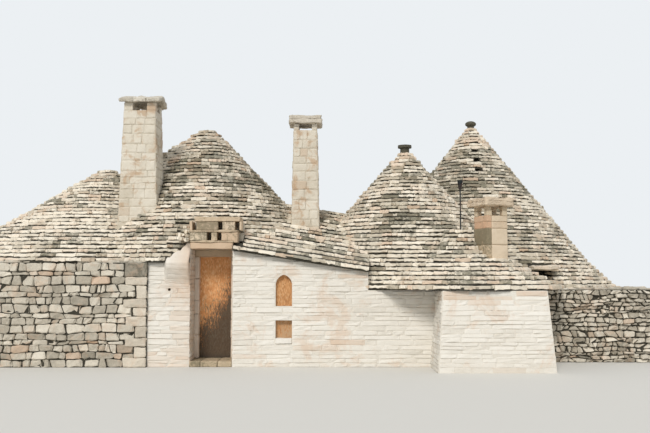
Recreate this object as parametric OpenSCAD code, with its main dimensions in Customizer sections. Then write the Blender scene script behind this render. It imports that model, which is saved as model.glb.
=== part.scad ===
// Trullo house: dry stone cones on thick limestone walls.
// X runs to the right along the front, Y runs inwards from the front wall and Z is up.
// Places along X are measured from a setting out line 1.92 m right of the doorway.

/* [Plan] */
// Left face of the main room
main_room_x = -4400; // [-4600:10:-4200]
// Width of the main room
main_room_w = 3800; // [3600:10:4000]
// Length of the main room
main_room_l = 3900; // [3600:10:4200]
// Thickness of the front wall
front_wall_t = 1000; // [950:10:1150]
// Thickness of the back wall behind the main room
main_back_t = 1300; // [1000:10:1500]
// Thickness of the wall with an arch left of the main room
left_arch_t = 600; // [500:10:700]
// Width of the left room
left_room_w = 3000; // [2800:10:3200]
// Length of the left room
left_room_l = 5000; // [4700:10:5200]
// Thickness of the left end wall
left_end_t = 1300; // [1200:10:1500]
// Thickness of the back wall behind the left room
left_back_t = 1600; // [1500:10:1800]
// Right end of that back wall, where the two roofs meet
left_back_end_x = -2700; // [-2900:10:-2600]
// How far the rubble wall stands before the front wall
rubble_step = 60; // [40:5:110]
// Right end of the rubble wall
rubble_end_x = -3680; // [-3800:10:-3600]
// Thickness of the wall with an arch right of the main room
middle_arch_t = 800; // [700:10:900]
// Width of the middle room
middle_room_w = 2100; // [2000:10:2200]
// Length of the middle room
middle_room_l = 3200; // [3000:10:3300]
// Thickness of the wall behind the middle room
middle_back_t = 700; // [600:10:800]
// Thickness of the wall with an arch between the middle and the tall room
tall_arch_t = 600; // [500:10:700]
// Width of the tall room
tall_room_w = 3100; // [2900:10:3200]
// Front face of the tall room
tall_room_y = 2400; // [2300:10:2600]
// Length of the tall room
tall_room_l = 4500; // [4300:10:4600]
// Left face of the part of the tall room behind the middle room
tall_bay_x = 1500; // [1300:10:1700]
// Thickness of the right end wall
right_end_t = 1400; // [1200:10:1500]
// Thickness of the back wall behind the tall room
tall_back_t = 1400; // [1200:10:1500]
// Front face of the rubble wall at the right
right_front_y = 1000; // [900:10:1100]
// Right face of the front alcove
alcove_end_x = 4350; // [4250:10:4450]
// How far the alcove stands before the front wall
alcove_step = 1000; // [900:10:1100]
// Lean of the alcove's faces between top and foot
alcove_batter = 120; // [60:10:160]
// Left face of the alcove's room
alcove_room_x = 2950; // [2900:10:3050]
// Width of the alcove's room
alcove_room_w = 900; // [800:10:950]
// Thickness of the alcove's front wall
alcove_front_t = 1000; // [900:10:1100]
// Length of the alcove's room
alcove_room_l = 1600; // [1400:10:1700]

/* [Heights] */
// Height of the walls under the main and the low cone
left_wall_h = 2150; // [2100:10:2200]
// Height of the walls under the middle and the tall cone
right_wall_h = 1580; // [1540:10:1620]
// Thickness of the stone floor
floor_t = 100; // [60:10:110]
// Height of the front wall beside the doorway
door_side_h = 2400; // [2360:10:2430]
// Height of the front wall where the saddle roof ends
saddle_end_h = 1950; // [1900:10:2000]
// Height to which the wall rises left of the doorway
door_shoulder_h = 2520; // [2480:10:2550]
// Width of the rising part of that wall
door_shoulder_w = 490; // [400:10:560]
// Thickness of the rising part of that wall
door_shoulder_t = 300; // [250:10:400]

/* [Arches] */
// Width of the arched openings between the rooms
arch_w = 700; // [600:10:800]
// Height at which the arches spring
arch_spring = 1000; // [900:10:1100]
// Place of the arch between the left and the main room
left_arch_y = 3000; // [2800:10:3200]
// Place of the arch between the main and the middle room
middle_arch_y = 1900; // [1700:10:2100]
// Place of the arch between the middle and the tall room
tall_arch_y = 3300; // [3200:10:3500]

/* [Main cone] */
// Place of its axis along X
main_x = -2917; // [-3000:1:-2850]
// Place of its axis along Y
main_y = 3150; // [3100:1:3200]
// Radius at the eaves
main_r = 3330; // [3280:1:3360]
// Height of the top
main_top = 5488; // [5450:1:5520]
// Radius of the rounded top
main_top_r = 250; // [200:1:300]
// Depth of the rounded top
main_round = 90; // [60:1:120]
// How far the left shoulder lies from the axis
shoulder_gap = 1212; // [1150:1:1280]
// Height of the shoulder
shoulder_top = 4769; // [4700:1:4800]
// Radius of the shoulder at the eaves
shoulder_r = 2300; // [2200:1:2400]

/* [Low cone] */
// Place of its axis along X
low_x = -5561; // [-5600:1:-5500]
// Place of its axis along Y
low_y = 3750; // [3720:1:3780]
// Radius at the eaves
low_r = 3840; // [3810:1:3870]
// Height of the top
low_top = 4565; // [4540:1:4600]
// Radius where the slope turns a little steeper
low_bend_r = 1690; // [1600:1:1780]
// Depth of that turn below the top
low_bend_drop = 1007; // [960:1:1050]
// Radius where the crown begins
low_crown_r = 829; // [780:1:880]
// Depth of the crown
low_crown_drop = 425; // [400:1:460]
// Radius of the top
low_tip_r = 140; // [110:1:180]

/* [Middle cone] */
// Place of its axis along X
middle_x = 1955; // [1900:1:2000]
// Place of its axis along Y
middle_y = 2800; // [2780:1:2850]
// Radius at the eaves
middle_r = 2950; // [2900:1:2970]
// Height of the top
middle_top = 4875; // [4800:1:4950]
// Radius of the top and of the finial's neck
middle_neck_r = 110; // [90:1:130]
// Height of the finial's neck
middle_neck_h = 141; // [120:1:160]
// Radius of the finial's disc
middle_disc_r = 167; // [150:1:190]
// Thickness of the finial's disc
middle_disc_t = 63; // [50:1:80]

/* [Tall cone] */
// Place of its axis along X
tall_x = 3944; // [3900:1:4000]
// Place of its axis along Y
tall_y = 4800; // [4780:1:4850]
// Radius at the eaves
tall_r = 3600; // [3580:1:3620]
// Radius where the flatter skirt begins
skirt_r = 2928; // [2880:1:2960]
// Height where the flatter skirt begins
skirt_h = 2218; // [2180:1:2250]
// Height of the top
tall_top = 5854; // [5800:1:5900]
// Radius of the top and of the finial's neck
tall_neck_r = 90; // [80:1:110]
// Height of the finial's neck
tall_neck_h = 59; // [45:1:80]
// Radius of the finial's flattened ball
tall_ball_r = 147; // [130:1:160]
// Height of the finial's flattened ball
tall_ball_h = 163; // [140:1:190]
// Width of the vents
vent_w = 190; // [160:1:220]
// Height of the vents
vent_h = 75; // [60:1:90]
// Depth of the vents
vent_l = 300; // [200:1:350]
// Height of the lowest vent
vent_low = 4565; // [4500:1:4620]
// Distance between the vents
vent_gap = 300; // [260:1:320]

/* [Alcove and saddle roofs] */
// Place of the alcove roof's axis along X
alcove_x = 3000; // [2950:1:3050]
// Place of the alcove roof's axis along Y
alcove_y = 1000; // [950:1:1050]
// Radius of the alcove roof at the eaves
alcove_r = 2110; // [2090:1:2150]
// Radius where the alcove roof turns steep
alcove_turn_r = 630; // [580:1:680]
// Height where the alcove roof turns steep
alcove_turn_h = 2430; // [2400:1:2460]
// Radius of the alcove roof's flat top
alcove_top_r = 310; // [280:1:340]
// Height of the alcove roof's flat top
alcove_top = 2870; // [2850:1:2900]
// How far the eaves stand out from the walls
eave_out = 120; // [80:1:150]
// Thickness of the eaves
eave_t = 60; // [50:1:80]
// Right end of the saddle roof
saddle_end_x = 900; // [850:1:950]
// Rise of the saddle roof from eaves to ridge
saddle_rise = 1370; // [1300:1:1420]
// Place of the saddle roof's ridge along Y
saddle_ridge_y = 3100; // [3050:1:3150]

/* [Domes] */
// Radius of the dome in the main cone
main_dome_r = 1450; // [1350:1:1480]
// Height of the dome in the main cone
main_dome_h = 2300; // [2100:1:2400]
// Radius of the dome in the low cone
low_dome_r = 1400; // [1300:1:1450]
// Height of the dome in the low cone
low_dome_h = 1000; // [900:1:1100]
// Radius of the dome in the middle cone
middle_dome_r = 950; // [900:1:1000]
// Height of the dome in the middle cone
middle_dome_h = 1500; // [1400:1:1600]
// Radius of the dome in the tall cone
tall_dome_r = 1450; // [1400:1:1480]
// Height of the dome in the tall cone
tall_dome_h = 2400; // [2200:1:2500]
// Radius of the dome over the alcove
alcove_dome_r = 420; // [380:1:440]
// Height of the dome over the alcove
alcove_dome_h = 330; // [300:1:360]

/* [Doorway] */
// Left side of the doorway
door_x = -2810; // [-2830:1:-2790]
// Width of the doorway
door_w = 890; // [870:1:910]
// Height of the threshold
threshold_h = 120; // [112:1:130]
// Height of the lintel's underside above the ground
lintel_z = 2440; // [2430:1:2460]
// Thickness of the lintel
lintel_h = 130; // [110:1:150]
// Depth of the front lintel
lintel_l = 250; // [200:1:300]
// Depth of the niche before the jambs
niche_l = 620; // [580:1:640]
// Depth of the jambs
jamb_l = 160; // [140:1:170]
// Width of each jamb
jamb_w = 100; // [80:1:110]
// Height of the inner lintel
inner_lintel_h = 150; // [130:1:160]
// How much wider the inner doorway is, left and right
inner_out = 140; // [120:1:160]

/* [Door leaf] */
// Gap between the leaf and the jambs, and under the leaf
leaf_gap = 6; // [5:1:15]
// How far the leaf laps the jambs and the inner lintel
leaf_lap = 50; // [40:1:60]
// How far the leaf laps the inner lintel
leaf_top_lap = 20; // [15:1:30]
// Thickness of the board
leaf_t = 22; // [18:1:30]
// Thickness of the ledges behind the board
ledge_t = 32; // [25:1:40]
// Height of the ledges
ledge_h = 120; // [100:1:140]
// Height of the lower ledge's centre above the threshold
ledge_low = 330; // [280:1:380]
// Distance from the lower to the upper ledge
ledge_span = 1450; // [1350:1:1550]
// Radius of the hinge pins
pin_r = 8; // [7:0.5:10]
// Running gap of the hinge pins
pin_gap = 0.05; // [0.02:0.01:0.09]
// Radius of the hinge knuckles
knuckle_r = 18; // [16:0.5:22]
// Length of the hinge knuckles
knuckle_h = 50; // [40:1:60]
// Length of the hinge straps
strap_l = 480; // [400:1:560]
// Thickness of the hinge straps
strap_t = 6; // [5:0.5:8]
// Height of the hinge straps
strap_h = 36; // [30:1:40]
// Distance from the hinge axis to the leaf's edge
hinge_out = 25; // [24:1:30]
// Thickness of the brackets under the pins
bracket_h = 16; // [14:1:22]

/* [Dovecote] */
// Left end of the dovecote
dove_x = -2830; // [-2840:1:-2820]
// Width of the dovecote
dove_w = 1090; // [1080:1:1100]
// Thickness of the sill and of the middle slab
dove_slab_t = 40; // [35:1:48]
// Height of each row of blocks
dove_row_h = 180; // [160:1:190]
// Thickness of the top slab
dove_top_t = 100; // [80:1:110]
// Depth of the nest holes
dove_hole_l = 350; // [300:1:380]
// Thickness of the stone behind the nest holes
dove_back_t = 250; // [200:1:280]
// Width of the nest holes
dove_hole_w = 90; // [80:1:100]
// Distance from the left end to the lower row's first hole
dove_low_1 = 360; // [350:1:370]
// Distance from the left end to the lower row's second hole
dove_low_2 = 575; // [565:1:585]
// Distance from the left end to the upper row's first hole
dove_up_1 = 55; // [50:1:60]
// Distance from the left end to the upper row's second hole
dove_up_2 = 595; // [585:1:605]
// Distance from the left end to the upper row's third hole
dove_up_3 = 950; // [940:1:955]
// How far the slabs stand out before the blocks
dove_slab_out = 30; // [20:1:40]

/* [Window and wall niche] */
// Left side of the window
window_x = -1025; // [-1040:1:-1010]
// Width of the window
window_w = 340; // [320:1:360]
// Height of the window's foot
window_z = 1250; // [1230:1:1270]
// Height of the window's straight sides
window_side_h = 436; // [400:1:460]
// How far the two arcs of the window's head are apart
window_point = 100; // [80:1:120]
// Depth at which the window board stands
window_board_y = 100; // [80:1:120]
// Thickness of the window board
window_board_t = 22; // [18:1:30]
// Height of the wall niche's foot
niche_z = 588; // [570:1:600]
// Height of the wall niche
niche_h = 369; // [350:1:380]
// Depth of the wall niche
niche_depth = 140; // [120:1:160]
// Thickness of the board in the wall niche
niche_board_t = 22; // [18:1:30]
// Height of the wall niche's sill
sill_h = 108; // [90:1:120]
// How far the sill stands out
sill_out = 30; // [20:1:40]
// Radius of the drain hole left of the doorway
drain_r = 32; // [25:1:40]
// Depth of the drain hole
drain_l = 300; // [250:1:350]
// Distance from the drain hole to the doorway
drain_gap = 425; // [400:1:450]
// Height of the drain hole
drain_z = 1594; // [1570:1:1620]

/* [Left chimney] */
// Place along X
left_chimney_x = -4200; // [-4230:1:-4170]
// Place along Y
left_chimney_y = 1600; // [1570:1:1630]
// Width at the foot
left_chimney_w = 880; // [860:1:900]
// Width at the top
left_chimney_top_w = 710; // [700:1:730]
// Height of its seat in the roof
left_chimney_seat = 2850; // [2820:1:2880]
// Height of the top of its stack
left_chimney_h = 5630; // [5580:1:5680]
// Height of its openings
left_vent_h = 180; // [160:1:200]
// Width of its corner posts
left_post_w = 190; // [170:1:200]
// Width of its cap
left_cap_w = 960; // [940:1:980]
// Thickness of its cap at the edge
left_cap_t = 80; // [70:1:90]
// Rise of its gabled cap
left_cap_rise = 130; // [110:1:150]
// Width of its flue
left_flue_w = 320; // [300:1:320]

/* [Middle chimney] */
// Place along X
middle_chimney_x = -455; // [-470:1:-440]
// Place along Y
middle_chimney_y = 2000; // [1980:1:2020]
// Width at the foot
middle_chimney_w = 650; // [630:1:670]
// Width at the top
middle_chimney_top_w = 530; // [520:1:545]
// Height of its seat in the roof
middle_chimney_seat = 2500; // [2480:1:2520]
// Height of the top of its stack
middle_chimney_h = 5263; // [5220:1:5300]
// Height of its openings
middle_vent_h = 155; // [140:1:170]
// Width of its corner posts
middle_post_w = 110; // [100:1:120]
// Width of its cap
middle_cap_w = 755; // [730:1:780]
// Thickness of its cap
middle_cap_t = 180; // [160:1:200]
// Width of its flue
middle_flue_w = 300; // [280:1:300]

/* [Small chimney] */
// Place along X
small_chimney_x = 3550; // [3530:1:3570]
// Place along Y
small_chimney_y = 430; // [410:1:450]
// Turn about its axis
small_chimney_turn = 22; // [15:1:30]
// Width
small_chimney_w = 494; // [480:1:510]
// Height of its seat in the roof
small_chimney_seat = 2000; // [1980:1:2020]
// Height of the top of its stack
small_chimney_h = 3150; // [3120:1:3180]
// Height of its openings
small_vent_h = 205; // [190:1:220]
// Width of its corner posts
small_post_w = 110; // [100:1:115]
// Width of its cap
small_cap_w = 720; // [700:1:740]
// Thickness of its cap
small_cap_t = 170; // [150:1:190]
// Width of its flue
small_flue_w = 250; // [230:1:260]
// Height of the flues' floors above the chimney seats
flue_floor = 300; // [250:1:350]

/* [Mast and hood] */
// Radius of the mast
mast_r = 14; // [12:1:18]
// Height of the mast up to its head
mast_h = 930; // [880:1:980]
// Radius of the mast's head
mast_head_r = 65; // [55:1:75]
// Height of the mast's head
mast_head_h = 200; // [180:1:220]
// Left side of the hole under the hood slab
hood_x = 4780; // [4760:1:4800]
// Width of that hole
hood_w = 430; // [400:1:450]
// Height of that hole's foot
hood_z = 1720; // [1700:1:1740]
// Height of that hole
hood_h = 300; // [280:1:320]
// Front of the hood slab
hood_y = 1430; // [1410:1:1450]
// Depth of the hood slab
hood_l = 650; // [600:1:680]
// Thickness of the hood slab
hood_t = 90; // [80:1:110]
// How far the hood slab bears on each side
hood_bear = 80; // [60:1:90]

/* [Hidden] */

$fn = 64;
roof_fn = 360;
over = 10; // how far a cut runs past a face
far = 20000; // longer than the house
far_slack = 200; // what the tilted saddle is made longer before its end is cut

// Lines of the plan
left_room_x = main_room_x - left_arch_t - left_room_w;
left_end_x = left_room_x - left_end_t;
left_arch_x = main_room_x - left_arch_t;
main_room_end = main_room_x + main_room_w;
middle_room_x = main_room_end + middle_arch_t;
middle_room_end = middle_room_x + middle_room_w;
tall_room_x = middle_room_end + tall_arch_t;
tall_room_end = tall_room_x + tall_room_w;
right_end_x = tall_room_end + right_end_t;
main_room_back = front_wall_t + main_room_l;
main_back = main_room_back + main_back_t;
left_room_back = front_wall_t + left_room_l;
left_back = left_room_back + left_back_t;
middle_room_back = front_wall_t + middle_room_l;
bay_y = middle_room_back + middle_back_t;
tall_room_back = tall_room_y + tall_room_l;
tall_back = tall_room_back + tall_back_t;
alcove_front = -alcove_step;
alcove_room_y = alcove_front + alcove_front_t;
alcove_room_end = alcove_room_x + alcove_room_w;
alcove_mid = alcove_room_x + alcove_room_w / 2;

// Doorway and door leaf
door_end = door_x + door_w;
jamb_back = niche_l + jamb_l;
inner_head = lintel_z - inner_lintel_h;
leaf_front = jamb_back + leaf_gap;
ledge_back = leaf_front + leaf_t + ledge_t;
leaf_x = door_x + jamb_w - leaf_lap;
leaf_w = door_w - 2 * (jamb_w - leaf_lap);
leaf_z = threshold_h + 2 * leaf_gap;
leaf_h = inner_head + leaf_top_lap - leaf_z;
hinge_x = leaf_x - hinge_out;
hinge_y = ledge_back + knuckle_r;
hinge_z = [threshold_h + ledge_low, threshold_h + ledge_low + ledge_span];
seat_gap = 0.3;

// Dovecote levels
dove_z = lintel_z + lintel_h;
dove_low_z = dove_z + dove_slab_t;
dove_mid_z = dove_low_z + dove_row_h;
dove_up_z = dove_mid_z + dove_slab_t;
dove_top_z = dove_up_z + dove_row_h;
dove_l = dove_hole_l + dove_back_t;

// The saddle roof falls to the right with the top of the front wall
saddle_run = saddle_end_x - door_end;
saddle_fall = door_side_h - saddle_end_h;
saddle_tilt = atan(saddle_fall / saddle_run);

// The whole house is centred on the origin
mid_x = (low_x - low_r + tall_x + tall_r) / 2;
mid_y = (alcove_front - alcove_batter + tall_y + tall_r) / 2;

// A block of wall between two corners of the plan
module block(x0, y0, x1, y1, h, z0 = 0)
    translate([x0, y0, z0]) cube([x1 - x0, y1 - y0, h]);

// Round headed opening that runs along X or, with turn = 90, along Y
module arch(x, y, l, turn = 0)
    translate([x, y, -over]) rotate([0, 0, turn]) {
        translate([-over, -arch_w / 2, 0]) cube([l + 2 * over, arch_w, arch_spring + over]);
        translate([-over, 0, arch_spring + over]) rotate([0, 90, 0])
            cylinder(h = l + 2 * over, r = arch_w / 2);
    }

// Hollow of a corbelled dome, a pointed arch turned about its axis
module dome(x, y, z, r, h, steps = 8)
    translate([x, y, z - over]) rotate_extrude($fn = roof_fn)
        polygon(concat([[0, 0], [r, 0]],
            [for (i = [0:steps - 1]) [r * (1 - pow(i / steps, 1.7)), over + h * i / steps]],
            [[0, over + h]]));

// Walls
module left_front_wall() color("gray")
    union() {
        block(left_end_x, -rubble_step, main_room_x, front_wall_t, left_wall_h);
        block(main_room_x, -rubble_step, rubble_end_x, 0, left_wall_h);
    }

module left_end_wall() color("gray")
    block(left_end_x, front_wall_t, left_room_x, left_room_back, left_wall_h);

module left_back_wall() color("gray")
    union() {
        block(left_end_x, left_room_back, main_room_x, left_back, left_wall_h);
        block(main_room_x, main_back, left_back_end_x, left_back, left_wall_h);
    }

module left_arch_wall() color("gainsboro")
    difference() {
        block(left_arch_x, front_wall_t, main_room_x, left_room_back, left_wall_h);
        arch(left_arch_x, left_arch_y, left_arch_t);
    }

// Opening behind the jambs, wide enough for the leaf
module inner_doorway()
    block(door_x - inner_out, jamb_back, door_end + inner_out, front_wall_t + over,
        inner_head + leaf_lap + over, -over);

module front_wall_left() color("white")
    difference() {
        union() {
            block(main_room_x, 0, door_x, front_wall_t, left_wall_h);
            door_shoulder();
        }
        inner_doorway();
        translate([door_x - drain_gap, 0, drain_z]) rotate([-90, 0, 0])
            translate([0, 0, -over]) cylinder(h = drain_l + over, r = drain_r);
    }

// The wall rises beside the doorway
module door_shoulder()
    translate([0, door_shoulder_t, 0]) rotate([90, 0, 0])
        linear_extrude(door_shoulder_t)
            polygon([[door_x - door_shoulder_w, left_wall_h], [door_x, left_wall_h],
                [door_x, door_shoulder_h]]);

// Front wall between the doorway and the alcove, with its sloping top
module front_wall_body()
    translate([0, front_wall_t, 0]) rotate([90, 0, 0])
        linear_extrude(front_wall_t)
            polygon([[door_end, 0], [middle_room_end, 0], [middle_room_end, right_wall_h],
                [saddle_end_x, right_wall_h], [saddle_end_x, saddle_end_h], [door_end, door_side_h]]);

module front_wall_right() color("white")
    difference() {
        front_wall_body();
        inner_doorway();
        window_opening(-over, front_wall_t + over);
        block(window_x, -over, window_x + window_w, niche_depth, niche_h, niche_z);
        sill_stone();
    }

module wall_over_door() color("silver")
    block(door_x, lintel_l, door_end, front_wall_t, lintel_h, lintel_z);

module middle_arch_wall() color("gainsboro")
    difference() {
        block(main_room_end, front_wall_t, middle_room_x, main_room_back, left_wall_h);
        arch(main_room_end, middle_arch_y, middle_arch_t);
    }

module main_back_wall() color("gainsboro")
    block(main_room_x, main_room_back, middle_room_x, main_back, left_wall_h);

module middle_back_wall() color("gainsboro")
    block(middle_room_x, middle_room_back, tall_room_x, bay_y, right_wall_h);

module tall_arch_wall() color("gainsboro")
    difference() {
        block(middle_room_end, tall_room_y, tall_room_x, middle_room_back, right_wall_h);
        arch(middle_room_end, tall_arch_y, tall_arch_t);
    }

// Battered front of the alcove
module alcove_wall() color("white")
    difference() {
        union() {
            block(middle_room_end, alcove_front, alcove_end_x, right_front_y, right_wall_h);
            alcove_batters();
        }
        block(alcove_room_x, alcove_room_y, alcove_room_end, right_front_y + over,
            right_wall_h + 2 * over, -over);
    }

// Wedges that make the front and the two sides of the alcove lean
module alcove_batters() {
    foot = [middle_room_end - alcove_batter, alcove_front - alcove_batter];
    hull() {
        block(middle_room_end, alcove_front, alcove_end_x, 0, right_wall_h);
        block(foot[0], foot[1], alcove_end_x + alcove_batter, 0, 1);
    }
}

module alcove_arch_wall() color("gainsboro")
    difference() {
        block(middle_room_end, right_front_y, alcove_end_x, tall_room_y, right_wall_h);
        block(alcove_room_x, right_front_y - over, alcove_room_end,
            alcove_room_y + alcove_room_l, right_wall_h + 2 * over, -over);
        arch(alcove_mid, alcove_room_y + alcove_room_l,
            tall_room_y - alcove_room_y - alcove_room_l, 90);
    }

module right_front_wall() color("gray")
    block(alcove_end_x, right_front_y, right_end_x, tall_room_y, right_wall_h);

module right_end_wall() color("gray")
    block(tall_room_end, tall_room_y, right_end_x, tall_room_back, right_wall_h);

module tall_back_wall() color("gainsboro")
    difference() {
        block(middle_room_x, bay_y, right_end_x, tall_back, right_wall_h);
        block(tall_bay_x, bay_y - over, right_end_x + over, tall_room_back,
            right_wall_h + 2 * over, -over);
    }

// One floor through all rooms and arches
module stone_floor() color("tan")
    linear_extrude(floor_t) {
        floor_field(left_room_x, front_wall_t, left_arch_x, left_room_back);
        floor_field(left_arch_x, left_arch_y - arch_w / 2, main_room_x, left_arch_y + arch_w / 2);
        floor_field(main_room_x, front_wall_t, main_room_end, main_room_back);
        floor_field(main_room_end, middle_arch_y - arch_w / 2,
            middle_room_x, middle_arch_y + arch_w / 2);
        floor_field(middle_room_x, front_wall_t, middle_room_end, middle_room_back);
        floor_field(middle_room_end, tall_arch_y - arch_w / 2,
            tall_room_x, tall_arch_y + arch_w / 2);
        floor_field(tall_room_x, tall_room_y, tall_room_end, tall_room_back);
        floor_field(tall_bay_x, bay_y, tall_room_x, tall_room_back);
        floor_field(alcove_mid - arch_w / 2, alcove_room_y + alcove_room_l,
            alcove_mid + arch_w / 2, tall_room_y);
        floor_field(alcove_room_x, alcove_room_y, alcove_room_end, alcove_room_y + alcove_room_l);
    }

module floor_field(x0, y0, x1, y1)
    translate([x0, y0]) square([x1 - x0, y1 - y0]);

// Whole shapes of the roofs, before they are cut to each other
module main_shape()
    intersection() {
        hull() {
            translate([main_x, main_y, left_wall_h]) {
                cylinder(h = main_top - main_round - left_wall_h, r1 = main_r, r2 = main_top_r, $fn = 40);
                cylinder(h = main_top - left_wall_h, r = main_top_r / 2, $fn = 16);
            }
            translate([main_x - shoulder_gap, main_y, left_wall_h])
                cylinder(h = shoulder_top - left_wall_h, r1 = shoulder_r, r2 = main_top_r / 2, $fn = 32);
        }
        union() {
            block(left_end_x, -eave_out, door_x, far, far);
            block(door_x, 0, middle_room_end, far, far);
        }
    }

module low_shape()
    translate([low_x, low_y, 0]) rotate_extrude($fn = roof_fn)
        polygon([[0, left_wall_h], [low_r, left_wall_h], [low_r, left_wall_h + eave_t],
            [low_bend_r, low_top - low_bend_drop], [low_crown_r, low_top - low_crown_drop],
            [low_tip_r, low_top], [0, low_top]]);

module middle_shape()
    intersection() {
        translate([middle_x, middle_y, 0]) rotate_extrude($fn = roof_fn)
            polygon([[0, right_wall_h], [middle_r, right_wall_h], [middle_r, right_wall_h + eave_t],
                [middle_neck_r, middle_top], [0, middle_top]]);
        block(-far, -eave_out, far, far, far);
    }

module tall_shape()
    translate([tall_x, tall_y, 0]) rotate_extrude($fn = roof_fn)
        polygon([[0, right_wall_h], [tall_r, right_wall_h], [skirt_r, skirt_h],
            [tall_neck_r, tall_top], [0, tall_top]]);

module alcove_shape()
    intersection() {
        translate([alcove_x, alcove_y, 0]) rotate_extrude($fn = roof_fn)
            polygon([[0, right_wall_h], [alcove_r, right_wall_h], [alcove_r, right_wall_h + eave_t],
                [alcove_turn_r, alcove_turn_h], [alcove_top_r, alcove_top], [0, alcove_top]]);
        union() {
            block(-far, -eave_out, far, far, far);
            block(middle_room_end - eave_out, alcove_front - eave_out,
                alcove_end_x + eave_out, 0, far);
        }
        union() {
            block(-far, -far, alcove_end_x + eave_out, far, far);
            block(0, right_front_y, far, far, far);
        }
    }

// Prism with two slopes whose eaves follow the top of the front wall
module saddle_shape()
    translate([door_end, 0, door_side_h]) rotate([0, saddle_tilt, 0])
        rotate([90, 0, 90]) translate([0, 0, main_x - door_end])
            linear_extrude((saddle_end_x - main_x) / cos(saddle_tilt) + far_slack)
                polygon([[-eave_out, 0], [0, 0], [0, -front_wall_t], [front_wall_t, -front_wall_t],
                    [main_back, 0], [main_back + eave_out, 0], [main_back + eave_out, eave_t],
                    [saddle_ridge_y, saddle_rise], [-eave_out, eave_t]]);

// What the roofs leave free round the doorway
module portal_space() {
    block(door_x, -far, door_end, front_wall_t, dove_z - left_wall_h, left_wall_h);
    block(dove_x, -far, dove_x + dove_w, dove_l, dove_top_z + dove_top_t - dove_z, dove_z);
    door_shoulder();
}

// Hollows under the cones, each over the middle of its room
module main_dome()
    dome(main_x, main_y, left_wall_h, main_dome_r, main_dome_h);

module low_dome()
    dome((left_room_x + left_arch_x) / 2, front_wall_t + left_room_l / 2, left_wall_h,
        low_dome_r, low_dome_h);

module middle_dome()
    dome((middle_room_x + middle_room_end) / 2, (front_wall_t + middle_room_back) / 2,
        right_wall_h, middle_dome_r, middle_dome_h);

module tall_dome()
    dome((tall_room_x + tall_room_end) / 2, (tall_room_y + tall_room_back) / 2,
        right_wall_h, tall_dome_r, tall_dome_h);

// Recess in the vault in which the top of the door leaf swings
module swing_space()
    block(door_x - inner_out, jamb_back, door_end + inner_out, hinge_y + leaf_w + 2 * leaf_lap,
        inner_head + leaf_lap + over - left_wall_h, left_wall_h);

// Roofs
module main_cone() color("darkgray")
    difference() {
        main_shape();
        main_dome();
        low_dome();
        swing_space();
        portal_space();
        front_wall_body();
        left_chimney_body();
        middle_chimney_body();
    }

module low_cone() color("lightgray")
    difference() {
        low_shape();
        main_shape();
        low_dome();
        left_chimney_body();
    }

module middle_cone() color("darkgray")
    difference() {
        middle_shape();
        main_shape();
        tall_shape();
        front_wall_body();
        block(main_room_x, front_wall_t, middle_room_x, far, left_wall_h);
        middle_dome();
        middle_chimney_body();
        small_chimney_body();
    }

module tall_cone() color("darkgray")
    difference() {
        tall_shape();
        tall_dome();
        middle_dome();
        small_chimney_body();
        for (i = [0:2]) vent(vent_low + i * vent_gap);
        hood_stone();
        block(hood_x, 0, hood_x + hood_w, hood_y + hood_l, hood_h + over, hood_z);
    }

// Slot through the outer stones at a height z, at the front of the tall cone
module vent(z) {
    slope_r = tall_neck_r + (tall_top - z) * (skirt_r - tall_neck_r) / (tall_top - skirt_h);
    block(tall_x - vent_w / 2, tall_y - slope_r - over, tall_x + vent_w / 2,
        tall_y - slope_r + vent_l, vent_h, z);
}

module alcove_roof() color("darkgray")
    difference() {
        alcove_shape();
        middle_shape();
        tall_shape();
        block(hood_x, 0, hood_x + hood_w, hood_y + hood_l, hood_h + over, hood_z);
        dome(alcove_mid, alcove_room_y + alcove_room_l / 2, right_wall_h, alcove_dome_r, alcove_dome_h);
        small_chimney_body();
    }

module saddle_roof() color("darkgray")
    difference() {
        intersection() {
            saddle_shape();
            union() {
                block(main_x, -eave_out, saddle_end_x, front_wall_t + middle_arch_t, far);
                block(main_x, front_wall_t, middle_room_x + eave_out, far, far);
            }
        }
        block(-far, front_wall_t, far, far, left_wall_h);
        main_shape();
        middle_shape();
        front_wall_body();
        portal_space();
        block(-far, -far, door_end, front_wall_t, far);
        middle_chimney_body();
    }

// Finials
module middle_finial() color("gray")
    translate([middle_x, middle_y, middle_top]) {
        cylinder(h = middle_neck_h, r = middle_neck_r);
        translate([0, 0, middle_neck_h]) cylinder(h = middle_disc_t, r = middle_disc_r);
    }

module tall_finial() color("dimgray")
    translate([tall_x, tall_y, tall_top]) {
        cylinder(h = tall_neck_h + tall_ball_h / 4, r = tall_neck_r);
        translate([0, 0, tall_neck_h + tall_ball_h / 2]) rotate_extrude()
            polygon([for (i = [-6:6]) [tall_ball_r * cos(i * 15), tall_ball_h / 2 * sin(i * 15)]]);
    }

// Slab over the hole where two roofs meet
module hood_stone()
    block(hood_x - hood_bear, hood_y, hood_x + hood_w + hood_bear, hood_y + hood_l,
        hood_t, hood_z + hood_h);

module hood_slab() color("gainsboro") hood_stone();

module roof_mast() color("darkslategray")
    translate([alcove_x, alcove_y, alcove_top]) {
        cylinder(h = mast_h, r = mast_r);
        translate([0, 0, mast_h])
            cylinder(h = mast_head_h, r1 = mast_head_r / 2, r2 = mast_head_r);
    }

// Doorway
module door_lintels() color("burlywood") {
    block(door_x, 0, door_end, lintel_l, lintel_h, lintel_z);
    block(door_x, niche_l, door_end, jamb_back, inner_lintel_h, inner_head);
}

module door_jambs() color("wheat")
    for (x = [door_x, door_end - jamb_w])
        block(x, niche_l, x + jamb_w, jamb_back, inner_head - threshold_h, threshold_h);

module door_threshold() color("tan")
    block(door_x, 0, door_end, front_wall_t, threshold_h);

// Door leaf of one board with two ledges behind it
module door_leaf() color("peru")
    block(leaf_x, leaf_front, leaf_x + leaf_w, leaf_front + leaf_t, leaf_h, leaf_z);

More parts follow.
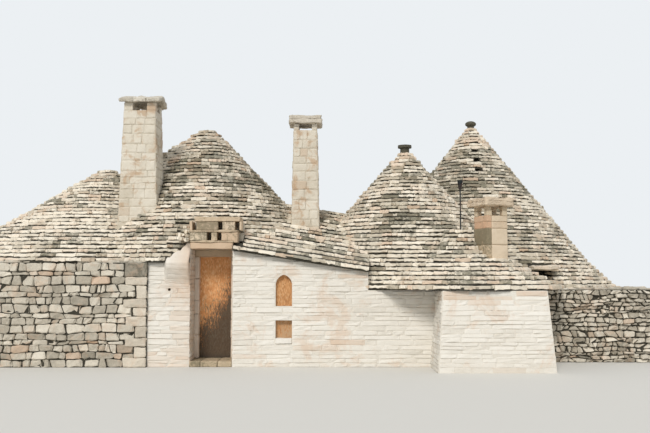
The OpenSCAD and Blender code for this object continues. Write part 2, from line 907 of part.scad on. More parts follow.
module door_ledges() color("sienna")
    for (z = hinge_z)
        block(leaf_x, leaf_front + leaf_t, leaf_x + leaf_w, ledge_back, ledge_h, z - ledge_h / 2);

module door_straps() color("dimgray")
    for (z = hinge_z) {
        difference() {
            union() {
                translate([hinge_x, hinge_y, z - knuckle_h / 2]) cylinder(h = knuckle_h, r = knuckle_r);
                block(hinge_x, ledge_back, hinge_x + strap_l, ledge_back + strap_t,
                    strap_h, z - strap_h / 2);
            }
            translate([hinge_x, hinge_y, z - knuckle_h / 2 - over])
                cylinder(h = knuckle_h + 2 * over, r = pin_r + pin_gap);
        }
    }

// Pins on brackets that are let into the left side of the inner doorway
module door_pintles() color("dimgray")
    for (z = hinge_z) {
        top = z - knuckle_h / 2 - seat_gap;
        translate([hinge_x, hinge_y, top - bracket_h]) {
            cylinder(h = bracket_h, r = knuckle_r);
            cylinder(h = bracket_h + seat_gap + knuckle_h, r = pin_r);
        }
        block(door_x - inner_out, hinge_y - pin_r, hinge_x, hinge_y + pin_r, bracket_h, top - bracket_h);
    }

// Dovecote above the doorway
module dovecote_slabs() color("tan") {
    for (z = [dove_z, dove_mid_z])
        block(dove_x, -dove_slab_out, dove_x + dove_w, dove_l, dove_slab_t, z);
    block(dove_x, -dove_slab_out, dove_x + dove_w, dove_l, dove_top_t, dove_top_z);
}

// A row of blocks with the nest holes left free between them
module dovecote_row(z, holes)
    difference() {
        block(dove_x, 0, dove_x + dove_w, dove_hole_l, dove_row_h, z);
        for (x = holes)
            block(dove_x + x, -over, dove_x + x + dove_hole_w, dove_hole_l + over,
                dove_row_h + 2 * over, z - over);
    }

module dovecote_blocks() color("wheat") {
    dovecote_row(dove_low_z, [dove_low_1, dove_low_2]);
    dovecote_row(dove_up_z, [dove_up_1, dove_up_2, dove_up_3]);
}

module dovecote_back() color("dimgray")
    for (z = [dove_low_z, dove_up_z])
        block(dove_x, dove_hole_l, dove_x + dove_w, dove_l, dove_row_h, z);

// Window with a slightly pointed head
module window_opening(y0, y1)
    translate([window_x + window_w / 2, y1, window_z]) rotate([90, 0, 0]) linear_extrude(y1 - y0) {
        translate([-window_w / 2, 0]) square([window_w, window_side_h]);
        translate([0, window_side_h]) intersection() {
            translate([-window_point / 2, 0]) circle(r = (window_w + window_point) / 2);
            translate([window_point / 2, 0]) circle(r = (window_w + window_point) / 2);
            translate([-window_w, -1]) square([2 * window_w, window_w]);
        }
    }

// Boards that close the window and the niche under it
module window_boards() color("chocolate") {
    window_opening(window_board_y, window_board_y + window_board_t);
    block(window_x, niche_depth - niche_board_t, window_x + window_w, niche_depth, niche_h, niche_z);
}

module sill_stone()
    block(window_x, -sill_out, window_x + window_w, niche_depth, sill_h, niche_z - sill_h);

module niche_sill() color("white") sill_stone();

// Tapered chimney stack on its seat
module stack(x, y, seat, w, top_w, h)
    translate([x, y, seat]) linear_extrude(h - seat, scale = top_w / w) square(w, center = true);

module flue(x, y, seat, w, h)
    translate([x - w / 2, y - w / 2, seat + flue_floor]) cube([w, w, h - seat]);

module posts(w, post, h)
    for (sx = [-1, 1], sy = [-1, 1])
        translate([sx * (w - post) / 2, sy * (w - post) / 2, h / 2])
            cube([post, post, h], center = true);

module left_chimney_body()
    stack(left_chimney_x, left_chimney_y, left_chimney_seat, left_chimney_w,
        left_chimney_top_w, left_chimney_h);

module left_chimney_stack() color("whitesmoke")
    difference() {
        left_chimney_body();
        flue(left_chimney_x, left_chimney_y, left_chimney_seat, left_flue_w, left_chimney_h);
    }

module left_chimney_head() color("gray")
    translate([left_chimney_x, left_chimney_y, left_chimney_h + seat_gap]) {
        posts(left_chimney_top_w, left_post_w, left_vent_h);
        translate([-left_cap_w / 2, 0, left_vent_h]) rotate([90, 0, 90]) linear_extrude(left_cap_w)
            polygon([[-left_cap_w / 2, 0], [left_cap_w / 2, 0], [left_cap_w / 2, left_cap_t],
                [0, left_cap_t + left_cap_rise], [-left_cap_w / 2, left_cap_t]]);
    }

module middle_chimney_body()
    stack(middle_chimney_x, middle_chimney_y, middle_chimney_seat, middle_chimney_w,
        middle_chimney_top_w, middle_chimney_h);

module middle_chimney_stack() color("whitesmoke")
    difference() {
        middle_chimney_body();
        flue(middle_chimney_x, middle_chimney_y, middle_chimney_seat, middle_flue_w, middle_chimney_h);
    }

module middle_chimney_head() color("gray")
    translate([middle_chimney_x, middle_chimney_y, middle_chimney_h + seat_gap]) {
        posts(middle_chimney_top_w, middle_post_w, middle_vent_h);
        translate([-middle_cap_w / 2, -middle_cap_w / 2, middle_vent_h])
            cube([middle_cap_w, middle_cap_w, middle_cap_t]);
    }

module small_chimney_body()
    translate([small_chimney_x, small_chimney_y, 0]) rotate([0, 0, small_chimney_turn])
        translate([-small_chimney_w / 2, -small_chimney_w / 2, small_chimney_seat])
            cube([small_chimney_w, small_chimney_w, small_chimney_h - small_chimney_seat]);

module small_chimney_stack() color("tan")
    difference() {
        small_chimney_body();
        translate([small_chimney_x, small_chimney_y, 0]) rotate([0, 0, small_chimney_turn])
            flue(0, 0, small_chimney_seat, small_flue_w, small_chimney_h);
    }

module small_chimney_head() color("sandybrown")
    translate([small_chimney_x, small_chimney_y, small_chimney_h + seat_gap])
        rotate([0, 0, small_chimney_turn]) {
            posts(small_chimney_w, small_post_w, small_vent_h);
            translate([-small_cap_w / 2, -small_cap_w / 2, small_vent_h])
                cube([small_cap_w, small_cap_w, small_cap_t]);
        }

translate([-mid_x, -mid_y, 0]) {
    left_front_wall();
    left_end_wall();
    left_back_wall();
    left_arch_wall();
    front_wall_left();
    front_wall_right();
    wall_over_door();
    middle_arch_wall();
    main_back_wall();
    middle_back_wall();
    tall_arch_wall();
    alcove_wall();
    alcove_arch_wall();
    right_front_wall();
    right_end_wall();
    tall_back_wall();
    stone_floor();
    main_cone();
    low_cone();
    middle_cone();
    tall_cone();
    alcove_roof();
    saddle_roof();
    middle_finial();
    tall_finial();
    hood_slab();
    roof_mast();
    door_lintels();
    door_jambs();
    door_threshold();
    door_leaf();
    door_ledges();
    door_straps();
    door_pintles();
    dovecote_slabs();
    dovecote_blocks();
    dovecote_back();
    window_boards();
    niche_sill();
    left_chimney_stack();
    left_chimney_head();
    middle_chimney_stack();
    middle_chimney_head();
    small_chimney_stack();
    small_chimney_head();
}
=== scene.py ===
# Trullo house: dry stone roofs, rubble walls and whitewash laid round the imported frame.
# Everything is in metres, with X along the front, Y inwards and Z up.
import math
import bpy
import numpy as np
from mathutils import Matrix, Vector


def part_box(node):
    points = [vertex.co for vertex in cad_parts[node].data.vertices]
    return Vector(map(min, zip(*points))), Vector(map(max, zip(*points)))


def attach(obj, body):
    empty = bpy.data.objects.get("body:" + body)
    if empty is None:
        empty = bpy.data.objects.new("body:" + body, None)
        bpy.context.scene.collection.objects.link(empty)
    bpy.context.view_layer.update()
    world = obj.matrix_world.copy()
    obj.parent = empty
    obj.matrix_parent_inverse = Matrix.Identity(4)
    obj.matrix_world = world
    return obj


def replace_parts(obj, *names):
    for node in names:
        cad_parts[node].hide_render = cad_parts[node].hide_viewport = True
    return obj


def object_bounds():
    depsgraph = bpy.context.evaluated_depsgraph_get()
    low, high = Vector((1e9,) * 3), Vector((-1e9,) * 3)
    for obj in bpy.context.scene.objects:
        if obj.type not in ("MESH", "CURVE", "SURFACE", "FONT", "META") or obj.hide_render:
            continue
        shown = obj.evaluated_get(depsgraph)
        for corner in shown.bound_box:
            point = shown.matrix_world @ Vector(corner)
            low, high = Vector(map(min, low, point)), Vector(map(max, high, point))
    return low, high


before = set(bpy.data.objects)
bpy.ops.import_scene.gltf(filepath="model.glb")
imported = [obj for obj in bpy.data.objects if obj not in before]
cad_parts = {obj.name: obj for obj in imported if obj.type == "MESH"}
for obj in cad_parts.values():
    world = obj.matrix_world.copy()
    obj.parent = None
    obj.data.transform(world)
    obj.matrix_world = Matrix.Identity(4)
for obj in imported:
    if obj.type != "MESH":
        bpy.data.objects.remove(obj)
cadLow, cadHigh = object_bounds()  # the model's own box, which nothing leaves
boxes = {name: np.array([list(corner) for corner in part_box(name)]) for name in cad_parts}
fullTurn = 2 * math.pi


def lowOf(name):
    return boxes[name][0]


def highOf(name):
    return boxes[name][1]


def middleOf(name):
    return boxes[name].mean(0)


def colour(red, green, blue):
    # a screen colour of 0 to 255 turned into the linear values that a shader takes
    parts = np.array([red, green, blue]) / 255
    linear = np.where(parts <= 0.04045, parts / 12.92, ((parts + 0.055) / 1.055) ** 2.4)
    return (*[float(part) for part in linear], 1.0)


# Shader maths as plain expressions
class Value:
    def __init__(self, tree, socket):
        self.tree = tree
        self.socket = socket

    def calc(self, operation, other, flip=False):
        pair = (other, self) if flip else (self, other)
        return self.tree.add("Math", dict(enumerate(pair)), operation=operation)[0]

    def __add__(self, other):
        return self.calc("ADD", other)

    def __sub__(self, other):
        return self.calc("SUBTRACT", other)

    def __rsub__(self, other):
        return self.calc("SUBTRACT", other, True)

    def __mul__(self, other):
        return self.calc("MULTIPLY", other)

    __radd__ = __add__
    __rmul__ = __mul__

    def held(self):
        # kept between 0 and 1
        return self.tree.add("Clamp", {"Value": self})["Result"]

    def ramp(self, start, end):
        # rises smoothly from 0 at start to 1 at end
        limits = {"Value": self, "From Min": start, "From Max": end}
        return self.tree.add("MapRange", limits, interpolation_type="SMOOTHSTEP")["Result"]


class Outputs:
    def __init__(self, tree, node):
        self.tree = tree
        self.node = node

    def __getitem__(self, key):
        return Value(self.tree, self.node.outputs[key])


class Tree:
    def __init__(self, owner):
        owner.use_nodes = True
        self.owner = owner
        self.nodes = owner.node_tree.nodes
        self.links = owner.node_tree.links
        self.nodes.clear()

    def add(self, kind, inputs=None, **settings):
        # one node: the numbers, colours or links of its sockets, and its settings by name
        node = self.nodes.new("ShaderNode" + kind)
        for key, setting in settings.items():
            setattr(node, key, setting)
        for key, given in (inputs or {}).items():
            if isinstance(given, Value):
                self.links.new(given.socket, node.inputs[key])
            else:
                node.inputs[key].default_value = given
        return Outputs(self, node)

    def shades(self, factor, look, places):
        # the look's dark, middle and light colour, each at its place along the factor
        made = self.add("ValToRGB", {"Fac": factor})
        ramp = made.node.color_ramp
        ramp.elements.new(0.5)
        for element, place, key in zip(ramp.elements, places, ("dark", "middle", "light")):
            element.position = place
            element.color = colour(*look[key])
        return made["Color"]

    def mix(self, factor, first, second):
        first, second = [part if isinstance(part, Value) else colour(*part) for part in (first, second)]
        return self.add("Mix", {0: factor, 6: first, 7: second}, data_type="RGBA")[2]

    def noise(self, place, scale, detail=4.0, roughness=0.6, distortion=0.0):
        inputs = {"Vector": place, "Scale": scale, "Detail": detail,
                  "Roughness": roughness, "Distortion": distortion}
        return self.add("TexNoise", inputs)["Fac"]

    def stretched(self, place, x, y, z):
        # the place with its axes scaled, for grain and streaks
        return self.add("VectorMath", {0: place, 1: (x, y, z)}, operation="MULTIPLY")["Vector"]

    def finish(self, base, rough, height, reach, metallic=0.0):
        # principled surface with a bump whose height is given in metres
        bump = self.add("Bump", {"Strength": 1.0, "Distance": reach, "Height": height})
        inputs = {"Base Color": base, "Roughness": rough, "Metallic": metallic, "Normal": bump["Normal"]}
        shader = self.add("BsdfPrincipled", inputs)
        self.add("OutputMaterial", {"Surface": shader["BSDF"]})
        return self.owner


def startMaterial(name):
    tree = Tree(bpy.data.materials.new(name))
    return tree, tree.add("TexCoord")["Object"]


def stoneMaterial(name, look):
    # Limestone. The attribute "stone" holds each stone's own tone, age and warmth.
    tree, place = startMaterial(name)
    own = tree.add("Attribute", attribute_name="stone")
    parts = tree.add("SeparateColor", {"Color": own["Color"]})
    tone, age, warmth = parts["Red"], parts["Green"], parts["Blue"]
    broad = tree.noise(place, look["patch"], 3.0)
    fine = tree.noise(tree.stretched(place, 1, 1, look["layers"]), look["grain"], 8.0, 0.7)
    pits = tree.noise(place, look["grain"] * 3.1, 4.0, 0.8)
    shade = (tone * look["own"] + broad * 0.5 + fine * 0.6 - 0.3).held()
    base = tree.shades(shade, look, (0.0, 0.45, 1.0))
    warm = (warmth * (0.4 + fine)).held()
    base = tree.mix(warm, base, look["warm"])
    stain = tree.noise(place, look["patch"] * 1.7, 5.0, 0.7, 0.5) + fine * 0.25 - 0.12
    stain = stain.ramp(look["stainFrom"], look["stainFrom"] + 0.14)
    base = tree.mix(stain * look["stain"], base, look["warm"])
    crust = tree.noise(place, look["crust"], 6.0, 0.75, 0.6)
    growth = (crust + age * 0.55 - 0.28 * pits).ramp(look["growth"], look["growth"] + 0.18)
    base = tree.mix(growth * look["cover"], base, look["lichen"])
    specks = (pits - fine * 0.35).ramp(0.44, 0.52)
    base = tree.mix(specks * look["specks"], base, look["speck"])
    rough = (0.95 - fine * 0.18).held()
    height = fine * 0.6 + pits * 0.4 + broad * 0.4
    return tree.finish(base, rough, height, look["relief"])


limestone = {
    "patch": 1.7, "grain": 14.0, "layers": 1.0, "crust": 5.5, "own": 0.7, "relief": 0.016,
    "dark": (108, 100, 84), "middle": (176, 165, 143), "light": (230, 220, 200),
    "warm": (202, 164, 132), "lichen": (92, 92, 74), "growth": 0.62, "cover": 0.8,
    "speck": (66, 62, 50), "specks": 0.4, "stain": 0.0, "stainFrom": 0.55,
}
looks = {
    "roofStone": dict(limestone, dark=(100, 94, 80), middle=(184, 174, 154), light=(240, 231, 214),
        layers=2.6, own=0.8, growth=0.66, cover=0.68, crust=8.0, specks=0.5, stain=0.22, stainFrom=0.5),
    "rubbleStone": dict(limestone, dark=(118, 112, 99), middle=(176, 168, 152), light=(230, 222, 206),
        lichen=(104, 101, 88), grain=18.0, own=0.75, growth=0.74, stain=0.3, stainFrom=0.5, specks=0.5,
        relief=0.025),
    "whitewash": dict(limestone, dark=(206, 199, 186), middle=(226, 221, 211), light=(240, 237, 230),
        warm=(208, 178, 150), lichen=(150, 142, 124), speck=(150, 138, 118), patch=0.9, grain=11.0,
        own=0.35, relief=0.007, growth=0.86, cover=0.6, specks=0.25, stain=0.4, stainFrom=0.52, layers=2.2),
    "cutStone": dict(limestone, dark=(146, 130, 104), middle=(192, 174, 146), light=(222, 207, 184),
        warm=(204, 166, 136), lichen=(104, 98, 76), grain=10.0, own=0.6, relief=0.006, cover=0.7,
        growth=0.66, stain=0.15, crust=11.0),
    "innerWall": dict(limestone, dark=(150, 142, 126), middle=(196, 189, 174), light=(226, 220, 206),
        patch=1.2, grain=9.0, own=0.0, relief=0.01, growth=0.95),
    "floorStone": dict(limestone, dark=(96, 90, 78), middle=(146, 138, 120), light=(180, 172, 152),
        patch=2.2, grain=12.0, own=0.0, relief=0.004, growth=0.8),
    "finialStone": dict(limestone, dark=(58, 56, 46), middle=(96, 92, 76), light=(150, 142, 120), patch=5.0,
        grain=22.0, own=0.0, growth=0.6, relief=0.02),
    "capStone": dict(limestone, dark=(116, 111, 98), middle=(176, 169, 153), light=(226, 220, 206),
        patch=4.0, grain=16.0, growth=0.68, cover=0.6, relief=0.03),
    "lichenStone": dict(limestone, dark=(140, 120, 96), middle=(190, 168, 140), light=(226, 212, 190),
        lichen=(182, 128, 84), patch=5.0, grain=16.0, growth=0.66, cover=0.6, crust=9.0),
    "chimneyWash": dict(limestone, dark=(176, 164, 142), middle=(214, 206, 190), light=(234, 229, 218),
        warm=(182, 150, 116), lichen=(128, 112, 84), speck=(120, 104, 78), patch=1.2, grain=12.0, own=0.35,
        relief=0.01, growth=0.8, cover=0.6, specks=0.35, stain=0.7, stainFrom=0.5),
    # painted shade: a near-black stone for the cores behind the roof slabs and rubble stones, so that the gaps
    # between them read as shade
    "shadedGap": dict(limestone, dark=(40, 38, 30), middle=(66, 62, 50), light=(98, 92, 76), own=0.0,
        relief=0.02, growth=0.9),
}
materials = {name: stoneMaterial(name, look) for name, look in looks.items()}


def boardMaterial(name, look):
    # Pressed board of large wood chips, weathered, with mould that rises from one lower corner and painted
    # shade along its foot
    tree, place = startMaterial(name)
    away = tree.add("VectorMath", {0: place, 1: look["corner"]}, operation="SUBTRACT")
    parts = tree.add("SeparateXYZ", {0: away["Vector"]})
    chips = tree.add("TexVoronoi", {"Vector": tree.stretched(place, 1.0, 1.0, 0.4), "Scale": 55.0})
    chip = tree.add("SeparateColor", {"Color": chips["Color"]})["Red"]
    broad = tree.noise(place, 2.3, 5.0, 0.65)
    fine = tree.noise(tree.stretched(place, 3, 3, 0.5), 26.0, 6.0, 0.7)
    shade = (chip * 0.55 + broad * 0.45 + fine * 0.45 - 0.24).held()
    base = tree.shades(shade, look, (0.0, 0.5, 1.0))
    spread = broad * 0.7 + fine * 1.3 + chip * 0.2 + parts["X"] * look["aside"] - parts["Z"] * look["rise"]
    base = tree.mix(spread.ramp(look["from"], look["from"] + 0.35) * 0.93, base, look["mould"])
    # painted shade along the board's foot: its lowest 0.11 m fades into the same colour as the mould
    base = tree.mix((1.0 - (parts["Z"] * 9.0).held()) * 0.6, base, look["mould"])
    return tree.finish(base, (0.85 - chip * 0.15).held(), chip * 0.5 + fine * 0.5, 0.002)


def timberMaterial(name, look):
    # sawn boards, with the grain along one axis
    tree, place = startMaterial(name)
    grain = tree.noise(tree.stretched(place, *look["grain"]), 9.0, 8.0, 0.75, 0.4)
    broad = tree.noise(place, 3.0, 3.0)
    base = tree.shades((grain * 0.8 + broad * 0.3 - 0.05).held(), look, (0.2, 0.5, 0.85))
    return tree.finish(base, 0.8, grain, 0.003)


def ironMaterial(name, look):
    # old iron, brown with rust where the noise is high
    tree, place = startMaterial(name)
    fine = tree.noise(place, 90.0, 5.0, 0.7)
    rust = (tree.noise(place, 7.0, 6.0, 0.7) * 0.7 + fine * 0.5).ramp(0.6, 0.8)
    base = tree.mix(rust, look["iron"], look["rust"])
    return tree.finish(base, (0.5 + rust * 0.4).held(), fine, 0.0008, 1.0 - rust)


# the last colour of each board is both its mould and the painted shade at its foot
boards = {
    "doorBoard": {"corner": tuple(lowOf("door_leaf")), "aside": 0.95, "rise": 0.62, "from": 0.6,
                  "dark": (184, 120, 72), "middle": (230, 166, 108),
                  "light": (248, 216, 170), "mould": (60, 55, 45)},
    "windowBoard": {"corner": tuple(lowOf("window_boards")), "aside": 0.3, "rise": 0.3, "from": 0.9,
                    "dark": (150, 102, 62), "middle": (198, 144, 92),
                    "light": (222, 180, 132), "mould": (182, 150, 116)},
}
materials.update({name: boardMaterial(name, look) for name, look in boards.items()})
materials["timber"] = timberMaterial("timber", {
    "grain": (0.6, 6, 6),
    "dark": (58, 42, 28), "middle": (104, 78, 52), "light": (146, 116, 82)})
materials["iron"] = ironMaterial("iron", {"iron": (52, 58, 60), "rust": (104, 62, 40)})

# What covers the surface of each node of the frame
nodeFinish = {
    # painted shade: these cores behind the slabs and stones are near black, so that the gaps between them read
    # as shade
    "shadedGap": ["low_cone", "main_cone", "middle_cone", "tall_cone", "alcove_roof", "saddle_roof",
              "left_back_wall", "left_end_wall", "left_front_wall", "main_back_wall", "right_end_wall",
              "right_front_wall", "tall_back_wall"],
    "innerWall": ["alcove_arch_wall", "left_arch_wall", "middle_arch_wall", "middle_back_wall",
                  "tall_arch_wall", "wall_over_door", "dovecote_back"],
    "whitewash": ["front_wall_left", "front_wall_right", "alcove_wall", "niche_sill"],
    "chimneyWash": ["left_chimney_stack", "middle_chimney_stack"],
    "capStone": ["left_chimney_head", "middle_chimney_head", "hood_slab"],
    "lichenStone": ["small_chimney_head", "small_chimney_stack"],
    "cutStone": ["door_jambs", "door_lintels", "door_threshold", "dovecote_blocks", "dovecote_slabs"],
    "finialStone": ["middle_finial", "tall_finial"],
    "floorStone": ["stone_floor"], "doorBoard": ["door_leaf"], "windowBoard": ["window_boards"],
    "timber": ["door_ledges"], "iron": ["door_straps", "door_pintles", "roof_mast"],
}
for finish, names in nodeFinish.items():
    for name in names:
        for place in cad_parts[name].material_slots:
            place.material = materials[finish]
print("materials made")


# Making meshes from arrays
def buildPiece(name, points, groups, material, slot, stone=None, body="house", smooth=False):
    # points of shape (n, 3), and faces in groups with the same number of corners
    mesh = bpy.data.meshes.new(name)
    points = np.clip(points, np.array(cadLow), np.array(cadHigh))
    faces = [face for group in groups for face in group.tolist()]
    mesh.from_pydata(points.tolist(), [], faces)
    mesh.materials.append(material)
    if stone is not None:
        shades = np.ones((len(points), 4), np.float32)
        shades[:, :3] = stone
        mesh.attributes.new("stone", "FLOAT_COLOR", "POINT").data.foreach_set("color", shades.ravel())
    if smooth:
        mesh.polygons.foreach_set("use_smooth", np.ones(len(mesh.polygons), bool))
    mesh.update()
    piece = bpy.data.objects.new(name, mesh)
    bpy.context.scene.collection.objects.link(piece)
    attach(piece, body)
    return piece


def gridQuads(index):
    # the faces between the points of a grid
    return np.stack([index[:-1, :-1], index[1:, :-1], index[1:, 1:], index[:-1, 1:]], -1).reshape(-1, 4)


def gridBorder(index):
    # the points round a grid, in order
    return np.concatenate([index[:, 0], index[-1, 1:], index[-2::-1, -1], index[0, -2:0:-1]])


def repeated(count, size, *shapes):
    # the faces of one solid of size points, for each of count such solids
    first = np.arange(count)[:, None, None] * size
    return [(first + shape).reshape(-1, shape.shape[-1]) for shape in shapes]


def slabSolids(spots, look, rng):
    # Every slab is one cross-section of six points, chamfered in front, carried along its width.
    # A station's place is centre + along * t + out * o + up * u, with chips that differ at each station.
    shape = (len(spots["width"]), look["stations"])
    shifts = rng.uniform(-0.06, 0.06, (shape[0], shape[1] - 2))
    reach = np.linspace(-0.5, 0.5, shape[1]) + np.pad(shifts, ((0, 0), (1, 1)))
    along = reach * spots["width"][:, None]
    chip = rng.normal(0, look["chip"], shape)
    ends = np.abs(np.linspace(-1, 1, shape[1])) ** 6
    chip = chip - ends * rng.uniform(0.2, 1.6, (shape[0], 1)) * look["round"]
    high = spots["height"][:, None] * np.ones(shape[1])
    bevel = look["bevel"] * rng.uniform(0.5, 1.6, shape)
    deep = np.full(shape, look["depth"])
    worn = look["worn"] * rng.uniform(0.6, 1.2, shape)
    upper = chip - worn * 0.55 + rng.normal(0, look["chip"] * 0.4, shape)
    lower = chip - rng.uniform(0, 1, shape) * look["chip"]
    out = np.stack([-deep, chip - bevel - worn, upper, lower, chip - bevel * 1.3, -deep], 2)
    up = np.stack([high, high, high - bevel, bevel * 0.7, 0 * high, 0 * high], 2)
    up[:, :, 1:5] += np.stack([rng.normal(0, look["wave"], shape) for _ in range(4)], 2)
    up = up + out * spots["lean"][:, None, None] + (along * spots["roll"][:, None])[:, :, None]
    centre, axis, outwards, upwards = [spots[key][:, None, None] for key in ("centre", "along", "out", "up")]
    points = centre + along[:, :, None, None] * axis + out[..., None] * outwards + up[..., None] * upwards
    index = np.arange(shape[1] * 6).reshape(-1, 6)
    after = np.roll(index, -1, 1)
    quads = np.stack([index[:-1], after[:-1], after[1:], index[1:]], -1).reshape(-1, 4)
    groups = repeated(shape[0], index.size, quads, index[-1:], index[:1, ::-1])
    return points.reshape(-1, 3), groups, np.repeat(spots["stone"], index.size, 0)


# Roofs: courses of slabs that follow the outline of each cone at their height
course = {
    "rise": 0.093,       # height of a course
    "thin": 0.52, "thick": 0.84,   # least and greatest share of it that a slab fills
    "narrow": 0.1, "wide": 0.42,   # widths of the slabs
    "gap": 0.0025,       # gap between two slabs
    "meet": 0.05,        # height over a course's foot at which it meets the roof's own surface
    "proud": 0.042,      # how far a slab stands before that
    "depth": 0.27,       # how deep it lies in the roof
    "worn": 0.03,        # how far its upper edge is worn back
    "overlap": 0.09,     # how far courses run into the next roof at a valley
    "stations": 6, "chip": 0.012, "round": 0.018, "bevel": 0.01, "wave": 0.0065,  # a slab's own shape
}
leftEave = lowOf("low_cone")[2]
rightEave = lowOf("tall_cone")[2]
eaveEdge = 0.06
lowCone = {"radius": 3.84, "top": highOf("low_cone")[2]}
mainCone = {"radius": 3.33, "top": highOf("main_cone")[2], "crown": 0.25, "crownRise": 0.09, "tip": 0.125,
            "shoulder": 2.3, "shoulderGap": 1.212, "shoulderTop": 4.769, "doveGap": 0.087}


def turnedRoof(centre, *profile):
    # a roof turned about its axis, from pairs of radius and height from the eave up
    radii, heights = np.array(profile, float).T
    return {"centre": np.array(centre[:2]), "radii": radii, "heights": heights,
            "foot": heights[0], "top": heights[-1]}


def mainRoof(size):
    # radius by height of the round part and of the shoulder left of it, and how far left that stands
    centre = [lowOf("dovecote_slabs")[0] - size["doveGap"], highOf("main_cone")[1] - size["radius"]]
    levels = [leftEave, size["shoulderTop"], size["top"]]
    return {"centre": np.array(centre), "foot": leftEave, "top": size["top"],
            "circles": [([leftEave, size["top"] - size["crownRise"], size["top"]],
                         [size["radius"], size["crown"], size["tip"]]),
                        (levels, [size["shoulder"], size["tip"], size["tip"]])],
            "shift": (levels, [size["shoulderGap"], size["shoulderGap"], 0])}


roofs = {
    "main": mainRoof(mainCone),
    "low": turnedRoof(
        (lowOf("low_cone")[0] + lowCone["radius"], highOf("low_cone")[1] - lowCone["radius"]),
        (lowCone["radius"], leftEave), (lowCone["radius"], leftEave + eaveEdge),
        (1.69, lowCone["top"] - 1.007), (0.829, lowCone["top"] - 0.425), (0.14, lowCone["top"])),
    "middle": turnedRoof(middleOf("middle_finial"), (2.95, rightEave), (2.95, rightEave + eaveEdge),
                         (0.11, lowOf("middle_finial")[2])),
    "tall": turnedRoof(middleOf("tall_finial"), (3.6, rightEave), (2.928, 2.218),
                       (0.09, lowOf("tall_finial")[2])),
    "alcove": turnedRoof(middleOf("roof_mast"), (2.11, rightEave), (2.11, rightEave + eaveEdge), (0.63, 2.43),
                         (0.31, highOf("alcove_roof")[2])),
}
turns = np.linspace(0, fullTurn, 721)


def hullReach(roof, heights, angles):
    # How far the main cone reaches at each height in each direction: the farther one of two
    # circles, r for the round part and r - shift * cos(angle) for the shoulder left of it.
    middle, shoulder = [np.interp(heights, *line)[:, None] for line in roof["circles"]]
    shift = np.interp(heights, *roof["shift"])[:, None]
    return np.maximum(middle + 0 * angles, shoulder - shift * np.cos(angles))


def outline(roof, z, above=0.0):
    # a course at height z, on the roof's outline a little above it: points and outward directions
    directions = np.stack([np.cos(turns), np.sin(turns), 0 * turns], 1)
    if "circles" in roof:
        reach = hullReach(roof, np.array([z + above]), turns)[0]
        side = np.stack([-directions[:, 1], directions[:, 0], 0 * turns], 1)
        points = reach[:, None] * directions + np.gradient(reach, turns)[:, None] * side
    else:
        points = np.interp(z + above, roof["heights"], roof["radii"]) * directions
    points[:, :2] += roof["centre"]
    points[:, 2] = z
    return points, directions


def insideRoof(roof, points, margin):
    # whether points lie inside a roof, by more than the margin
    within = (points[:, 2] > roof["foot"]) & (points[:, 2] < roof["top"])
    away = points[:, :2] - roof["centre"]
    if "circles" not in roof:
        return within & (np.hypot(*away.T) < np.interp(points[:, 2], roof["heights"], roof["radii"]) - margin)
    angles = turns[:-1:6]
    reach = hullReach(roof, points[:, 2], angles)
    along = away @ np.stack([np.cos(angles), np.sin(angles)])
    return within & np.all(along < reach - margin, 1)


def runsOf(allowed):
    # first and last index of each stretch of True
    edges = np.diff(np.concatenate([[0], allowed.astype(int), [0]]))
    return list(zip(np.flatnonzero(edges == 1), np.flatnonzero(edges == -1) - 1))


def splitLength(length, narrow, wide, rng):
    # random widths that fill a length exactly
    widths = []
    while sum(widths) < length:
        widths.append(rng.uniform(narrow, wide))
    return np.array(widths) * length / sum(widths)


def cutPlaces(length, narrow, wide, rng):
    return np.concatenate([[0], np.cumsum(splitLength(length, narrow, wide, rng))])


def patchy(points, size, seed):
    # smooth noise of about -1 to 1: a sum of six waves in random directions
    rng = np.random.default_rng(seed)
    total = 0
    for _ in range(6):
        way = rng.normal(size=3)
        way = way / np.linalg.norm(way) * fullTurn / (size * rng.uniform(0.6, 1.7))
        total = total + np.sin(points @ way + rng.uniform(0, fullTurn))
    return total / 2.4


def courseSpots(points, facings, up, rng):
    # slabs along one stretch of an outline
    steps = np.linalg.norm(np.diff(points, axis=0), axis=1)
    place = np.concatenate([[0], np.cumsum(steps)])
    length = place[-1]
    if length < 0.07:
        return None
    wide = min(course["wide"], max(0.1, length / 5))
    widths = splitLength(length, min(course["narrow"], wide * 0.6), wide, rng)
    centres = np.cumsum(widths) - widths / 2
    spot, facing = [np.stack([np.interp(centres, place, line[:, axis]) for axis in range(3)], 1)
                    for line in (points, facings)]
    facing = facing / np.linalg.norm(facing, axis=1)[:, None]
    count = len(widths)
    turn = rng.normal(0, 0.035, count)[:, None]
    out = facing * np.cos(turn) + np.cross(up, facing) * np.sin(turn)
    height = course["rise"] * rng.uniform(course["thin"], course["thick"], count)
    lift = course["rise"] + rng.uniform(0.002, 0.009, count) - height  # it lies at the top of its course
    centre = spot + out * rng.normal(course["proud"], 0.011, (count, 1)) + up * lift[:, None]
    return {"centre": centre, "out": out, "along": np.cross(up, out), "up": np.tile(up, (count, 1)),
            "width": widths - course["gap"] * rng.uniform(0.4, 1.8, count), "height": height,
            "lean": rng.normal(-0.05, 0.025, count), "roll": rng.normal(0, 0.022, count)}


def joined(rows):
    return {key: np.concatenate([row[key] for row in rows]) for key in rows[0]}


